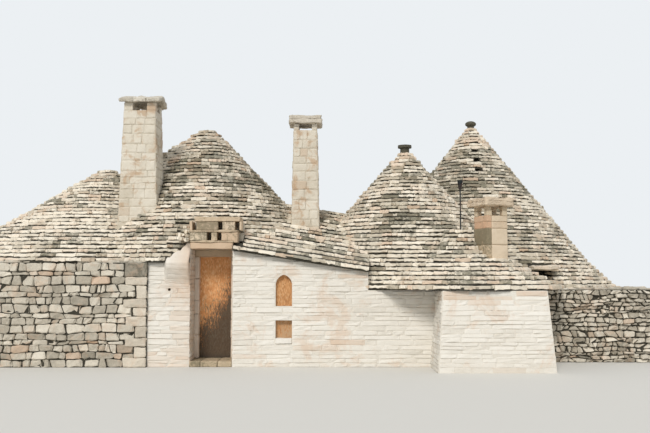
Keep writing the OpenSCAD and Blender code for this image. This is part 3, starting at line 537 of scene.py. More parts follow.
doorLow = lowOf("door_lintels")
doorHigh = highOf("door_lintels")
doveLow = lowOf("dovecote_slabs")
doveHigh = highOf("dovecote_slabs")
hoodLow = lowOf("hood_slab")
hoodHigh = highOf("hood_slab")
blockedBoxes = [
    # low and high corner of places that the courses leave free
    (np.array([doveLow[0] - 0.01, cadLow[1], doorHigh[2] - 0.06]), doveHigh + [0.01, 0.02, 0.0]),
    (np.array([doorLow[0] - 0.01, cadLow[1], 0]), np.array([doorHigh[0] + 0.01, doorHigh[1], doorHigh[2]])),
    (hoodLow - [0.02, 0.35, 0.3], hoodHigh + [-0.08, 0, 0.03]),
]
shoulder = {"width": 0.49, "low": highOf("left_front_wall")[2], "high": highOf("front_wall_left")[2]}
vents = {"width": 0.19, "height": 0.075, "low": 4.565, "gap": 0.3, "under": 0.036, "count": 3}


def shoulderTop(x):
    # height of the wall's top, which rises beside the doorway
    rise = np.clip((x - doorLow[0] + shoulder["width"]) / shoulder["width"], 0, 1)
    return shoulder["low"] + (shoulder["high"] - shoulder["low"]) * rise


def blockedPlace(points):
    # inside one of the boxes, on the plastered triangle beside the doorway, or in a vent of the tall cone
    x, y, z = points.T
    blocked = (x > doorLow[0] - shoulder["width"]) & (x < doorLow[0]) & (y < doorLow[1] + 0.3)
    blocked &= z < shoulderTop(x) + 0.05
    for low, high in blockedBoxes:
        blocked |= np.all((points > low) & (points < high), 1)
    axis = middleOf("tall_finial")
    step = np.round((z - vents["low"]) / vents["gap"])
    over = z - vents["low"] - step * vents["gap"]
    vent = (np.abs(x - axis[0]) < vents["width"] / 2) & (y < axis[1]) & (step >= 0) & (step < vents["count"])
    return blocked | vent & (over > -vents["under"]) & (over < vents["height"])


def slabRows(lines, others, rng, up):
    # the slabs of several outlines, wherever no other roof and no blocked place is
    rows = []
    middle = up * course["rise"] / 2
    for points, facings in lines:
        allowed = ~blockedPlace(points + middle)
        for other in others:
            allowed &= ~insideRoof(roofs[other], points + middle, course["overlap"])
        for start, end in runsOf(allowed):
            row = courseSpots(points[start:end + 1], facings[start:end + 1], up, rng)
            if row is not None:
                rows.append(row)
    return joined(rows)


def layRoof(name, others, seed, paint):
    roof = roofs[name]
    rng = np.random.default_rng(seed)
    count = round((roof["top"] - roof["foot"]) / course["rise"])
    lines = [outline(roof, z, course["meet"])
             for z in np.linspace(roof["foot"], roof["top"], count, endpoint=False)]
    turned = 540  # the outlines start at the back, so that no course begins in front
    lines = [(np.roll(points[:-1], turned, 0), np.roll(facings[:-1], turned, 0)) for points, facings in lines]
    finishRoof(name, slabRows(lines, others, rng, np.array([0.0, 0.0, 1.0])), paint, rng)


def finishRoof(name, spots, paint, rng):
    spots["stone"] = paint(spots["centre"], rng)
    points, groups, stone = slabSolids(spots, course, rng)
    print(name, "roof:", len(spots["width"]), "slabs")
    buildPiece(name + "RoofSlabs", points, groups, materials["roofStone"], "roof_stone", stone)


def roofPaint(dark, darkFrom, darkTo, warm, pale, blush=9.0):
    # tone, age and warmth of each slab: older and darker between two heights, else paler,
    # and young and reddish over the last height
    def paint(centres, rng):
        count = len(centres)
        level = np.clip((centres[:, 2] - darkFrom) / (darkTo - darkFrom), 0, 1)
        patch = patchy(centres, 1.6, 5) + 0.7 * patchy(centres, 0.5, 6)
        age = rng.beta(1.6, 2.8, count) + dark * level + 0.14 * patch
        tone = rng.beta(2.2, 1.8, count) + pale * (1 - level) - 0.08 * patch
        young = np.clip((centres[:, 2] - blush) / 0.2, 0, 1)
        warmth = (rng.random(count) < warm + 0.6 * young) * rng.uniform(0.1, 0.5, count)
        return np.column_stack([tone + 0.2 * young, age - 0.5 * young, warmth])
    return paint


def laySaddle(seed, paint):
    # two straight slopes, whose courses fall with the top of the front wall
    saddle = {"fall": 0.45, "rise": 1.37, "ridge": 3.1, "eave": 0.12, "inset": 0.25, "before": 1.2}
    front = lowOf("wall_over_door")[1] - saddle["inset"]
    start = np.array([doorHigh[0], front, highOf("front_wall_right")[2]])
    run = highOf("saddle_roof")[0] - doorHigh[0]
    tilt = math.atan2(saddle["fall"], run)
    along = np.array([math.cos(tilt), 0, -math.sin(tilt)])
    up = np.array([math.sin(tilt), 0, math.cos(tilt)])
    rng = np.random.default_rng(seed)
    reach = np.linspace(-saddle["before"], run / math.cos(tilt), 260)
    back = highOf("main_back_wall")[1] - front
    count = round(saddle["rise"] / course["rise"])
    rows = []
    for side, foot in ((-1.0, -saddle["eave"]), (1.0, back + saddle["eave"])):
        lines = []
        for level in np.arange(count) / count:
            points = start + along * reach[::-int(side)][:, None] + up * saddle["rise"] * level
            points[:, 1] += foot + (saddle["ridge"] - foot) * level
            lines.append((points, np.tile([0.0, side, 0.0], (len(points), 1))))
        rows.append(slabRows(lines, ["main", "middle"], rng, up))
    finishRoof("saddle", joined(rows), paint, rng)


def closedSheet(front, back):
    # two grids of the same shape, the second behind the first, joined along their borders
    index = np.arange(front.size // 3).reshape(front.shape[:2])
    quads = gridQuads(index)[:, [0, 3, 2, 1]]
    loop = gridBorder(index.T)
    after = np.roll(loop, -1)
    border = np.stack([after, loop, loop + index.size, after + index.size], 1)
    points = np.concatenate([front.reshape(-1, 3), back.reshape(-1, 3)])
    return points, [quads, quads[:, ::-1] + index.size, border]


def layShoulder(seed):
    # Limewashed plaster beside the doorway, from the wall's face up over the foot of the main cone. It lies
    # on the wall or on the cone's circles, y = cy - sqrt(r * r - (x - cx) ** 2), faded in over the flare.
    rng = np.random.default_rng(seed)
    plaster = {"over": 0.05, "proud": 0.06, "thick": 0.3, "flare": 0.5, "course": 0.095}
    across, rise = np.meshgrid(np.linspace(0, 1, 60), np.linspace(0, 1, 90))
    width = shoulder["width"] + plaster["over"]
    x = doorLow[0] - width + width * across
    foot = shoulder["low"] - plaster["flare"]
    top = shoulderTop(x) + plaster["over"] * 1.3 + 0.016 * np.sin(x * 31) + 0.01 * np.sin(x * 67)
    z = foot + (top - foot) * rise
    wallFace = lowOf("front_wall_left")[1] - 0.004
    cone = np.full(x.shape, wallFace)
    roof = roofs["main"]
    for circle, shift in zip(roof["circles"], (0, mainCone["shoulderGap"])):
        reach = np.interp(np.maximum(z, shoulder["low"]), *circle)
        inside = np.maximum(reach ** 2 - (x - roof["centre"][0] + shift) ** 2, 0)
        cone = np.minimum(cone, roof["centre"][1] - np.sqrt(inside) - plaster["proud"])
    fade = np.clip((z - foot) / plaster["flare"], 0, 1)
    fade = fade * fade * (3 - 2 * fade) * np.clip(across * 6, 0, 1)
    y = wallFace - 0.012 + (cone - wallFace) * fade
    row = (z + 0.008 * np.sin(x * 9) + 0.005 * np.sin(x * 23)) / plaster["course"]
    groove = np.clip(1 - np.abs(row - np.round(row)) * 9, 0, 1)
    places = np.stack([x, y, z], 2)
    bumps = patchy(places.reshape(-1, 3), 0.2, seed).reshape(x.shape) + rng.normal(0, 0.2, x.shape)
    edge = np.minimum(np.minimum(across, 1 - across) * 12, (1 - rise) * 10)
    depth = 0.02 * (1 - np.clip(edge, 0, 1)) ** 2 + 0.009 * groove + 0.005 * bumps
    front = places + np.array([0, 1, 0]) * depth[..., None]
    points, groups = closedSheet(front, places + np.array([0, plaster["thick"], 0]))
    tone = 0.55 + 0.35 * np.sin(np.round(row) * 2.4 + np.round(x * 2.1 + np.round(row) * 0.4))
    stone = np.stack([tone, 0.3 + 0 * x, 0.12 + 0.6 * across ** 2], 2).reshape(-1, 3)
    buildPiece("doorPlaster", points, groups, materials["whitewash"], "whitewash",
               np.concatenate([stone, stone]), smooth=True)


layShoulder(10)
layRoof("main", ["low"], 11, roofPaint(0.24, 3.3, 4.3, 0.2, 0.1))
layRoof("low", ["main"], 12, roofPaint(0.1, 3.5, 4.6, 0.18, 0.35))
layRoof("middle", ["main", "tall"], 13, roofPaint(0.2, 3.0, 4.8, 0.12, 0.15, 4.5))
layRoof("tall", [], 14, roofPaint(0.3, 2.6, 4.4, 0.14, 0.1, 5.2))
layRoof("alcove", ["middle", "tall"], 15, roofPaint(0.1, 2.0, 3.0, 0.14, 0.3))
laySaddle(16, roofPaint(0.1, 2.4, 3.6, 0.14, 0.3))


# Walls: stones in courses on a plane, each a bulged face with sides that run into the wall
knots = (7, 6)  # points along and up each stone


def stoneBlocks(corners, look, rng):
    # corners: lower left, lower right, upper right and upper left of each stone on the wall's plane.
    # Returns the place on the plane and the height over it for a grid of knots on each stone.
    count = len(corners)
    u, v = np.meshgrid([-1, -1, -0.78, 0.05, 0.78, 1, 1], [-1, -1, -0.74, 0.74, 1, 1], indexing="ij")
    i, j = np.indices(knots)
    ring = np.minimum(np.minimum(i, knots[0] - 1 - i), np.minimum(j, knots[1] - 1 - j))
    shape = (count, *knots)
    softU = u * (1 - look["round"] * np.abs(v) ** 5)
    softV = v * (1 - look["round"] * np.abs(u) ** 5)
    s, t = (softU + 1) / 2, (softV + 1) / 2
    weights = np.stack([(1 - s) * (1 - t), s * (1 - t), s * t, (1 - s) * t])
    flat = np.einsum("kij,nkc->nijc", weights, corners)
    centre = corners.mean(1)[:, None, None, :]
    size = np.ptp(corners, axis=1)
    flat = centre + (flat - centre) * (1 - look["gap"] / size[:, None, None, :])
    wobble = rng.normal(0, look["wobble"], (*shape, 2))[:, 1:-1, 1:-1] * 0.8
    flat = flat + np.pad(wobble, ((0, 0), (1, 1), (1, 1), (0, 0)), "edge")
    proud = rng.uniform(*look["proud"], count)[:, None, None]
    face = proud + rng.normal(0, look["rough"], shape)
    tilt = rng.normal(0, look["tilt"], (count, 2))
    face = face + tilt[:, 0, None, None] * u + tilt[:, 1, None, None] * v
    edge = proud - look["bevel"] * rng.uniform(0.6, 1.5, shape)
    return flat, np.where(ring == 0, -look["deep"], np.where(ring == 1, edge, face))


def wallSolids(wall, look, rng):
    # rows of stones between wavy lines, wherever wall["allowed"] says that the wall is there
    levels = cutPlaces(wall["height"], *look["rows"], rng)
    samples = np.arange(0, wall["length"] + 0.0101, 0.02)
    waves = rng.uniform(0, fullTurn, (len(levels) - 2, 3))

    def line(index, x):
        if index in (0, len(levels) - 1):
            return levels[index] + 0 * x
        first, second, third = waves[index - 1]
        swing = np.sin(x * 2.1 + first) + np.sin(x * 5.3 + second) + 0.6 * np.sin(x * 11.7 + third)
        return levels[index] + look["wave"] * swing

    corners = []
    for row in range(len(levels) - 1):
        middle = (levels[row] + levels[row + 1]) / 2
        for start, end in runsOf(wall["allowed"](samples, np.full(len(samples), middle))):
            left, right = samples[start], samples[end]
            if right - left < look["shortest"]:
                continue
            joints = left + cutPlaces(right - left, *look["widths"], rng)
            lean = rng.normal(0, look["lean"], len(joints))
            lean[[0, -1]] = 0
            low = np.column_stack([joints - lean, line(row, joints - lean)])
            high = np.column_stack([joints + lean, line(row + 1, joints + lean)])
            corners.append(np.stack([low[:-1], low[1:], high[1:], high[:-1]], 1))
    corners = np.concatenate(corners)
    flat, height = stoneBlocks(corners, look, rng)
    origin, along, up = [np.array(wall[key], float) for key in ("origin", "along", "up")]
    points = origin + flat[..., :1] * along + flat[..., 1:] * up + height[..., None] * np.cross(along, up)
    index = np.arange(knots[0] * knots[1]).reshape(knots)
    groups = repeated(len(corners), index.size, gridQuads(index), gridBorder(index)[::-1][None])
    tones = look["paint"](points.mean((1, 2)), rng)
    return points.reshape(-1, 3), groups, np.repeat(tones, index.size, 0)


def buildWalls(name, walls, look, material, slot, seed):
    rng = np.random.default_rng(seed)
    allPoints, allGroups, allTones, offset = [], [[], []], [], 0
    for wall in walls:
        points, groups, tones = wallSolids(wall, dict(look, **wall.get("look", {})), rng)
        allPoints.append(points)
        allTones.append(tones)
        for kept, group in zip(allGroups, groups):
            kept.append(group + offset)
        offset += len(points)
    print(name, offset // (knots[0] * knots[1]), "stones")
    return buildPiece(name, np.concatenate(allPoints), [np.concatenate(group) for group in allGroups],
                      materials[material], slot, np.concatenate(allTones))


def mixPaint(tone, age, warm):
    # least tone and age of a stone and how much more they can be, and the share of reddish stones
    def paint(centres, rng):
        count = len(centres)
        tones = rng.beta(2.0, 1.8, count) * tone[1] + tone[0]
        ages = rng.beta(1.5, 3.0, count) * age[1] + age[0] + 0.1 * patchy(centres, 1.3, 8)
        return np.column_stack([tones, ages, (rng.random(count) < warm) * rng.uniform(0.2, 0.65, count)])
    return paint


rubbleLook = {
    "rows": (0.08, 0.2), "widths": (0.12, 0.4), "gap": 0.014, "wave": 0.014, "lean": 0.016, "round": 0.12,
    "wobble": 0.008, "proud": (0.012, 0.06), "rough": 0.01, "tilt": 0.01, "bevel": 0.016, "deep": 0.05,
    "shortest": 0.05, "paint": mixPaint((0.1, 0.85), (0.0, 0.7), 0.05),
}
looseLook = dict(rubbleLook, rows=(0.06, 0.14), widths=(0.08, 0.3), wave=0.018, lean=0.026, round=0.18,
                 proud=(0.005, 0.08), rough=0.012, tilt=0.02, gap=0.018, bevel=0.022, wobble=0.009,
                 paint=mixPaint((0.05, 0.95), (0.05, 0.9), 0.05))
washLook = {
    "rows": (0.07, 0.12), "widths": (0.25, 0.85), "gap": 0.003, "wave": 0.006, "lean": 0.003, "round": 0.03,
    "wobble": 0.0035, "proud": (0.006, 0.02), "rough": 0.005, "tilt": 0.002, "bevel": 0.009, "deep": 0.02,
    "shortest": 0.15, "paint": mixPaint((0.2, 0.8), (0.0, 0.6), 0.02),
}


def at(x, y, z=0.0):
    return np.array([x, y, z])


def everywhere(x, z):
    return np.ones(len(x), bool)


def face(low, high, side, **more):
    # one upright side of a box, seen from outside
    ways = {"front": ((1, 0, 0), (low[0], low[1])), "back": ((-1, 0, 0), (high[0], high[1])),
            "left": ((0, -1, 0), (low[0], high[1])), "right": ((0, 1, 0), (high[0], low[1]))}
    along, corner = ways[side]
    length = (high - low)[0 if side in ("front", "back") else 1]
    return dict({"origin": (*corner, 0), "along": along, "up": (0, 0, 1), "length": length,
                 "height": high[2] - 0.003, "allowed": everywhere}, **more)


def flatTop(low, high, names, **more):
    # the top of a wall outside the roofs named, with the stones laid in rows along X
    def allowed(x, y):
        places = np.column_stack([low[0] + x, low[1] + y, np.full(len(x), high[2] + 0.03)])
        return ~np.any([insideRoof(roofs[name], places, 0.1) for name in names], 0)
    return dict({"origin": (low[0], low[1], high[2]), "along": (1, 0, 0), "up": (0, 1, 0),
                 "length": high[0] - low[0], "height": high[1] - low[1], "allowed": allowed}, **more)


def leaningWall(corner, along, length, height, batter, ends=(1, 1), slack=0.0, seat=-1.0, trim=0.0):
    # A wall that leans back by the batter on its height. Each end leans in as well where ends says 1.
    along = np.array(along, float)
    slope = math.hypot(height, batter)
    up = (np.array([0, 0, height]) - np.array([along[1], -along[0], 0]) * batter) / slope

    def allowed(x, z):
        inset = z / slope * batter
        return (x > inset * ends[0] - slack) & (x < length - inset * ends[1] + slack) & (z > seat)
    return {"origin": corner, "along": along, "up": up, "length": length, "height": slope - trim,
            "allowed": allowed}


def sides(names):
    # a box round several CAD walls that stand flush
    return np.min([lowOf(name) for name in names], 0), np.max([highOf(name) for name in names], 0)


# Rubble walls, with big corner stones beside the white wall
leftLow, leftHigh = sides(["left_front_wall", "left_end_wall", "left_back_wall"])
rightLow, rightHigh = sides(["right_front_wall", "right_end_wall", "tall_back_wall"])
backLow, backHigh = boxes["main_back_wall"]
tallLow, tallHigh = boxes["tall_back_wall"]
leftTop = leftHigh[2]
rightTop = rightHigh[2]
backLeft = highOf("left_back_wall")[0]
rightFront = lowOf("right_front_wall")[1]
besideAlcove = highOf("alcove_wall")[0] - 0.12
washJoin = highOf("left_front_wall")[0]
whiteLeft = lowOf("front_wall_left")
quoins = {"heights": (0.17, 0.29), "widths": (0.26, 0.46), "vary": 0.04, "topHeight": 0.3, "topWidth": 0.46,
          "proud": 0.045, "deep": 0.3, "shadedGap": 0.005}
quoinRng = np.random.default_rng(20)
quoinTops = np.cumsum(splitLength(leftTop, *quoins["heights"], quoinRng))
quoinWidths = np.where(np.arange(len(quoinTops)) % 2, *quoins["widths"])
quoinWidths = quoinWidths + quoinRng.uniform(-quoins["vary"], quoins["vary"], len(quoinTops))
quoinTops[-2] = leftTop - quoins["topHeight"]
quoinWidths[-1] = quoins["topWidth"]


def besideQuoins(x, z):
    row = np.minimum(np.searchsorted(quoinTops, z), len(quoinTops) - 1)
    return leftLow[0] + x < washJoin - quoinWidths[row] - quoins["shadedGap"]


buildWalls("leftRubble", [
    face(leftLow, highOf("left_front_wall"), "front", allowed=besideQuoins),
    face(leftLow, leftHigh, "left"),
    face(leftLow, at(backLeft, leftHigh[1], leftTop), "back"),
    face(at(backLeft, backHigh[1]), at(backLeft, leftHigh[1], leftTop), "right"),
], rubbleLook, "rubbleStone", "rubble_stone", 21)
buildWalls("rightRubble", [
    face(at(besideAlcove, rightFront), rightHigh, "front"),
    face(at(rightLow[0], rightFront), rightHigh, "right"),
], looseLook, "rubbleStone", "rubble_stone", 22)
buildWalls("backRubble", [
    face(at(backLeft, backLow[1]), backHigh, "back"),
    face(tallLow, tallHigh, "back"),
    face(at(tallLow[0], backHigh[1]), tallHigh, "left"),
], dict(rubbleLook, rows=(0.14, 0.26), widths=(0.18, 0.5)), "rubbleStone", "rubble_stone", 23)
topLook = dict(rubbleLook, rows=(0.22, 0.42), widths=(0.25, 0.6), proud=(0.02, 0.045), deep=0.02)
rightLook = {"paint": looseLook["paint"]}
buildWalls("wallTops", [
    flatTop(leftLow, at(whiteLeft[0], leftHigh[1], leftTop), ["low", "main"]),
    flatTop(at(whiteLeft[0], backHigh[1]), at(backLeft, leftHigh[1], leftTop), ["low", "main"]),
    flatTop(lowOf("left_front_wall"), at(washJoin, whiteLeft[1], leftTop), ["main"],
            look={"rows": (0.05, 0.08)}),
    flatTop(at(besideAlcove, rightFront), rightHigh, ["tall", "alcove"], look=rightLook),
    flatTop(at(tallLow[0], backHigh[1]), at(besideAlcove, rightHigh[1], rightTop), ["tall", "middle"],
            look=rightLook),
], topLook, "rubbleStone", "rubble_stone", 24)


# Whitewashed walls: thin courses that the wash nearly fills
whiteRight, whiteEnd = boxes["front_wall_right"]
windowLow, windowHigh = boxes["window_boards"]
saddleEnd = {"x": highOf("saddle_roof")[0], "high": whiteEnd[2], "low": 1.95}
holes = {"window": 1.25, "side": 1.686, "nicheLow": lowOf("niche_sill")[2], "nicheHigh": 0.957, "bow": 0.1,
         "row": 0.055}
drain = {"aside": 0.425, "height": 1.594, "halfWidth": 0.04, "halfHeight": 0.055}
reveal = {"over": 0.15, "paint": mixPaint((0.0, 0.5), (0.1, 0.6), 0.9)}


def holed(x, z):
    # where the right front wall stands: not in its window or niche, nor over its sloping top
    place = whiteRight[0] + x
    width = windowHigh[0] - windowLow[0]
    aside = np.abs(place - (windowLow[0] + windowHigh[0]) / 2)
    radius = (width + holes["bow"]) / 2
    rowFoot = np.maximum(z - holes["row"] - holes["side"], 0)
    head = (z > holes["side"]) & ((aside + holes["bow"] / 2) ** 2 + rowFoot ** 2 > radius ** 2)
    between = (z > holes["nicheHigh"]) & (z < holes["window"])
    free = (aside > width / 2) | (z < holes["nicheLow"]) | between | head
    run = np.clip((place - whiteRight[0]) / (saddleEnd["x"] - whiteRight[0]), 0, 1)
    top = saddleEnd["high"] + (saddleEnd["low"] - saddleEnd["high"]) * run
    return free & (z < np.where(place > saddleEnd["x"], rightTop, top) - 0.03)


def shouldered(x, z):
    # where the left front wall stands, with its rise beside the doorway and its drain hole
    place = washJoin + x
    beside = np.abs(place - doorLow[0] + drain["aside"]) < drain["halfWidth"]
    drained = beside & (np.abs(z - drain["height"]) < drain["halfHeight"])
    return ~drained & (z < shoulderTop(place) - 0.02)


def doorPaint(centres, rng):
    # wash that has worn off and reddened close to the doorway and at the wall's foot
    stone = washLook["paint"](centres, rng)
    near = np.clip(1 - (doorLow[0] - centres[:, 0]) / 0.42, 0, 1)
    low = np.clip(1 - centres[:, 2] / 0.35, 0, 1)
    stone[:, 2] += np.maximum(near, 0.6 * low) * rng.uniform(0.25, 0.85, len(centres))
    return stone


def stainedPaint(centres, rng):
    # wash with tan stones under the eave and grey ones near the ground
    count = len(centres)
    high = np.clip((centres[:, 2] - rightTop + 0.3) / 0.3, 0, 1)
    low = np.clip(1 - centres[:, 2] / 0.25, 0, 1)
    warmth = (rng.random(count) < 0.02 + 0.8 * high) * rng.uniform(0.15, 0.6, count)
    age = rng.beta(1.5, 3.0, count) * 0.5 + 0.4 * low * rng.random(count)
    return np.column_stack([rng.beta(2.0, 1.6, count) * 0.8 + 0.2 - 0.2 * low, age, warmth])


buildWalls("whiteWalls", [
    face(at(washJoin, whiteLeft[1]), at(doorLow[0], 0, shoulder["high"]), "front",
         allowed=shouldered, look={"paint": doorPaint}),
    face(whiteRight, at(whiteEnd[0], 0, whiteEnd[2]), "front", allowed=holed),
], washLook, "whitewash", "whitewash", 25)
buildWalls("doorReveals", [
    face(at(x, y), at(x, lowOf("door_jambs")[1], doorLow[2] + reveal["over"]), side)
    for x, y, side in ((doorLow[0], whiteLeft[1], "right"), (whiteRight[0], whiteRight[1], "left"))
], dict(washLook, paint=reveal["paint"]), "whitewash", "whitewash", 49)
alcoveLow, alcoveHigh = boxes["alcove_wall"]
alcoveWide, alcoveDeep, alcoveRise = alcoveHigh - alcoveLow
buildWalls("alcoveWash", [
    leaningWall((x, y, 0), along, length, alcoveRise, 0.12, ends, trim=0.004)
    for x, y, along, length, ends in (
        (alcoveLow[0], alcoveHigh[1], (0, -1, 0), alcoveDeep, (0, 1)),
        (alcoveLow[0], alcoveLow[1], (1, 0, 0), alcoveWide, (1, 1)),
        (alcoveHigh[0], alcoveLow[1], (0, 1, 0), alcoveDeep, (1, 0)))
], dict(washLook, paint=stainedPaint), "whitewash", "whitewash", 26)


# Single blocks: a cube's surface as a grid, with rounded edges and a worn, uneven face
def cubeGrid(cells):
    # points of a cube's surface from -1 to 1, and its faces
    steps = np.arange(cells + 1)
    grid = np.stack(np.meshgrid(steps, steps, steps, indexing="ij"), -1).reshape(-1, 3)
    surface = np.any((grid == 0) | (grid == cells), 1)
    number = np.full(len(grid), -1)
    number[surface] = np.arange(surface.sum())
    number = number.reshape(cells + 1, cells + 1, cells + 1)
    quads = []
    for axis in range(3):
        for end in (0, cells):
            quad = gridQuads(np.take(number, end, axis))
            quads.append(quad if (end == 0) == (axis == 1) else quad[:, ::-1])
    return grid[surface] / cells * 2 - 1, np.concatenate(quads)


def blockSolids(blocks, look, rng):
    # Each block is a box from low to high, turned by its angle about its own middle. A grid point
    # moves to the nearest point of the box shrunk by the edge radius, plus that radius outwards.
    grid, quads = cubeGrid(look["cells"])
    low, high = [np.array([block[key] for block in blocks], float)[:, None] for key in ("low", "high")]
    half = (high - low) / 2
    edge = np.minimum(look["edge"], half.min(2, keepdims=True) * 0.7)
    spread = np.sign(grid) * np.abs(grid) ** look["spread"]
    inner = np.clip(spread * half, -(half - edge), half - edge)
    away = spread * half - inner
    length = np.linalg.norm(away, axis=2, keepdims=True)
    away = np.where(length > 1e-9, away / np.maximum(length, 1e-9), 0)
    points = inner + away * edge
    seeds = rng.uniform(0, 100, (len(blocks), 1, 3))
    rough = patchy(points + seeds, look["size"], 3) + 0.5 * patchy(points + seeds, look["size"] / 3, 4)
    points = points + away * (rough * look["rough"])[..., None] + rng.normal(0, look["grit"], points.shape)
    turn = np.array([block.get("turn", 0.0) for block in blocks])[:, None]
    lean = rng.normal(0, look.get("lean", 0), len(blocks))[:, None]
    x, y, z = np.moveaxis(points, -1, 0)
    turned = np.stack([x * np.cos(turn) - y * np.sin(turn), x * np.sin(turn) + y * np.cos(turn),
                       z + x * lean], -1)
    tones = np.array([block["stone"] for block in blocks], float)
    points = (turned + (low + high) / 2).reshape(-1, 3)
    return points, repeated(len(blocks), len(grid), quads), np.repeat(tones, len(grid), 0)


def layBlocks(name, blocks, look, material, slot, seed):
    rng = np.random.default_rng(seed)
    for block in blocks:
        block.setdefault("stone", [rng.uniform(0.3, 0.8), rng.beta(1.5, 3.5), 0.0])
    points, groups, stone = blockSolids(blocks, look, rng)
    return buildPiece(name, points, groups, materials[material], slot, stone, smooth=True)


def boxBlock(node, stone):
    return {"low": lowOf(node), "high": highOf(node), "stone": stone}


quoinStones = []
for number, (top, width) in enumerate(zip(quoinTops, quoinWidths)):
    foot = quoinTops[number - 1] if number else 0
    dark = number == len(quoinTops) - 1
    proud = quoins["proud"] + quoinRng.uniform(-0.015, 0.012)
    stone = [0.05, 0.9, 0] if dark else [quoinRng.uniform(0.5, 1), quoinRng.uniform(0, 0.5), 0.1]
    quoinStones.append({"low": (washJoin - width, leftLow[1] - proud, foot + quoins["shadedGap"]),
                        "high": (washJoin - 0.004, leftLow[1] + quoins["deep"], top - quoins["shadedGap"]),
                        "stone": stone})
quoinLook = {"cells": 12, "edge": 0.022, "spread": 0.8, "size": 0.14, "rough": 0.009, "grit": 0.002}
layBlocks("cornerStones", quoinStones, quoinLook, "rubbleStone", "rubble_stone", 27)

blockLook = {"cells": 12, "edge": 0.012, "spread": 0.8, "size": 0.16, "rough": 0.004, "grit": 0.0008}
slabLook = dict(blockLook, cells=14, edge=0.02, size=0.22, rough=0.012, grit=0.002, lean=0.01)


# Chimneys: tapered stacks of limewashed blocks
def stackWalls(node, topWidth):
    low, high = boxes[node]
    foot = (high - low)[0] / 2
    walls = []
    for quarter in range(4):
        along = at(math.cos(quarter * math.pi / 2), math.sin(quarter * math.pi / 2))
        corner = at(*middleOf(node)[:2], low[2]) + (at(along[1], -along[0]) - along) * foot
        walls.append(leaningWall(corner, along, 2 * foot, high[2] - low[2], foot - topWidth / 2,
                                 slack=0.004, seat=0.2))
    return walls


leftHead = {"width": 0.71, "post": 0.19, "open": 0.18, "cap": 0.92, "edge": 0.08, "rise": 0.13, "slab": 0.085}
middleHead = {"width": 0.53, "post": 0.11, "open": 0.155, "cap": 0.755, "thick": 0.18}
smallHead = {"width": 0.494, "post": 0.11, "open": 0.205, "cap": 0.72, "thick": 0.17,
             "turn": math.radians(22), "split": 0.22}
stackLook = dict(washLook, rows=(0.14, 0.26), widths=(0.2, 0.42), proud=(0.008, 0.02), rough=0.003, gap=0.007,
                 wave=0.004, wobble=0.003, bevel=0.008, paint=mixPaint((0.15, 0.8), (0.0, 0.75), 0.04))
buildWalls("leftChimneyWash", stackWalls("left_chimney_stack", leftHead["width"]),
           stackLook, "chimneyWash", "chimney_wash", 31)
buildWalls("middleChimneyWash", stackWalls("middle_chimney_stack", middleHead["width"]),
           stackLook, "chimneyWash", "chimney_wash", 32)


def postBlocks(node, stack, size):
    # four corner posts of two stones each, which stand between a stack and its cap
    middle, foot, turn = middleOf(node), highOf(stack)[2], size.get("turn", 0.0)
    half = size["post"] / 2 + 0.004
    reach = (size["width"] - size["post"]) / 2
    blocks = []
    for sx, sy in ((-1, -1), (-1, 1), (1, -1), (1, 1)):
        x = middle[0] + reach * (sx * math.cos(turn) - sy * math.sin(turn))
        y = middle[1] + reach * (sx * math.sin(turn) + sy * math.cos(turn))
        for low, high in ((0, 0.55), (0.55, 1)):
            blocks.append({"low": (x - half, y - half, foot + size["open"] * low),
                           "high": (x + half, y + half, foot + size["open"] * high - 0.003), "turn": turn})
    return blocks


for side, size, material, slot, seed in (("left", leftHead, "chimneyWash", "chimney_wash", 33),
                                         ("middle", middleHead, "chimneyWash", "chimney_wash", 34),
                                         ("small", smallHead, "cutStone", "cut_stone", 35)):
    posts = postBlocks(side + "_chimney_head", side + "_chimney_stack", size)
    layBlocks(side + "ChimneyPosts", posts, blockLook, material, slot, seed)


def gabledCap(name, node, size, seed):
    # Two rough slabs of three stones each, which lean on each other. Their height over the cap's foot
    # falls from the ridge by rise * |y| / half, and rows of stones show at the gable ends.
    rng = np.random.default_rng(seed)
    middle, top = middleOf(node), highOf(node)[2]
    half, third = size["cap"] / 2, size["cap"] / 3
    foot = top - size["rise"] - size["edge"]
    blocks = []
    for part in (0, 1, 2, 0, 1, 2):
        x = middle[0] - half + part * size["cap"] / 3
        blocks.append({"low": (x + 0.004, 0, 0), "high": (x + third - 0.004, half * 0.99, size["slab"]),
                       "stone": [rng.uniform(0.6, 0.95), rng.uniform(0.1, 0.5), 0.05]})
    points, groups, tones = blockSolids(blocks, dict(slabLook, rough=0.016, size=0.14, lean=0.0), rng)
    slabs = points.reshape(2, -1, 3)
    y = slabs[..., 1].copy()
    slabs[..., 2] += foot + size["edge"] + size["rise"] - size["slab"] - size["rise"] * y / half
    slabs[..., 1] = middle[1] + np.array([[-1], [1]]) * y
    faces = groups[0].reshape(2, -1, 4)
    faces[0] = faces[0, :, ::-1]  # the mirrored side is turned the right way out
    return buildPiece(name, slabs.reshape(-1, 3), [faces.reshape(-1, 4)], materials["capStone"],
                      "roof_stone", tones, smooth=True)


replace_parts(gabledCap("leftChimneyCap", "left_chimney_head", leftHead, 36), "left_chimney_head")


def flatCap(name, node, size, material, slot, seed):
    # a slab in two layers, the upper one a little smaller
    middle, top = middleOf(node), highOf(node)[2]
    half, thick = size["cap"] / 2, size["thick"]
    blocks = []
    for low, high, inset in ((top - thick, top - thick * 0.45, 0.0), (top - thick * 0.46, top, 0.012)):
        blocks.append({"low": (middle[0] - half + inset, middle[1] - half + inset, low),
                       "high": (middle[0] + half - inset, middle[1] + half - inset, high),
                       "turn": size.get("turn", 0.0), "stone": [0.75, 0.35, 0.1]})
    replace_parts(layBlocks(name, blocks, dict(slabLook, cells=18), material, slot, seed), node)


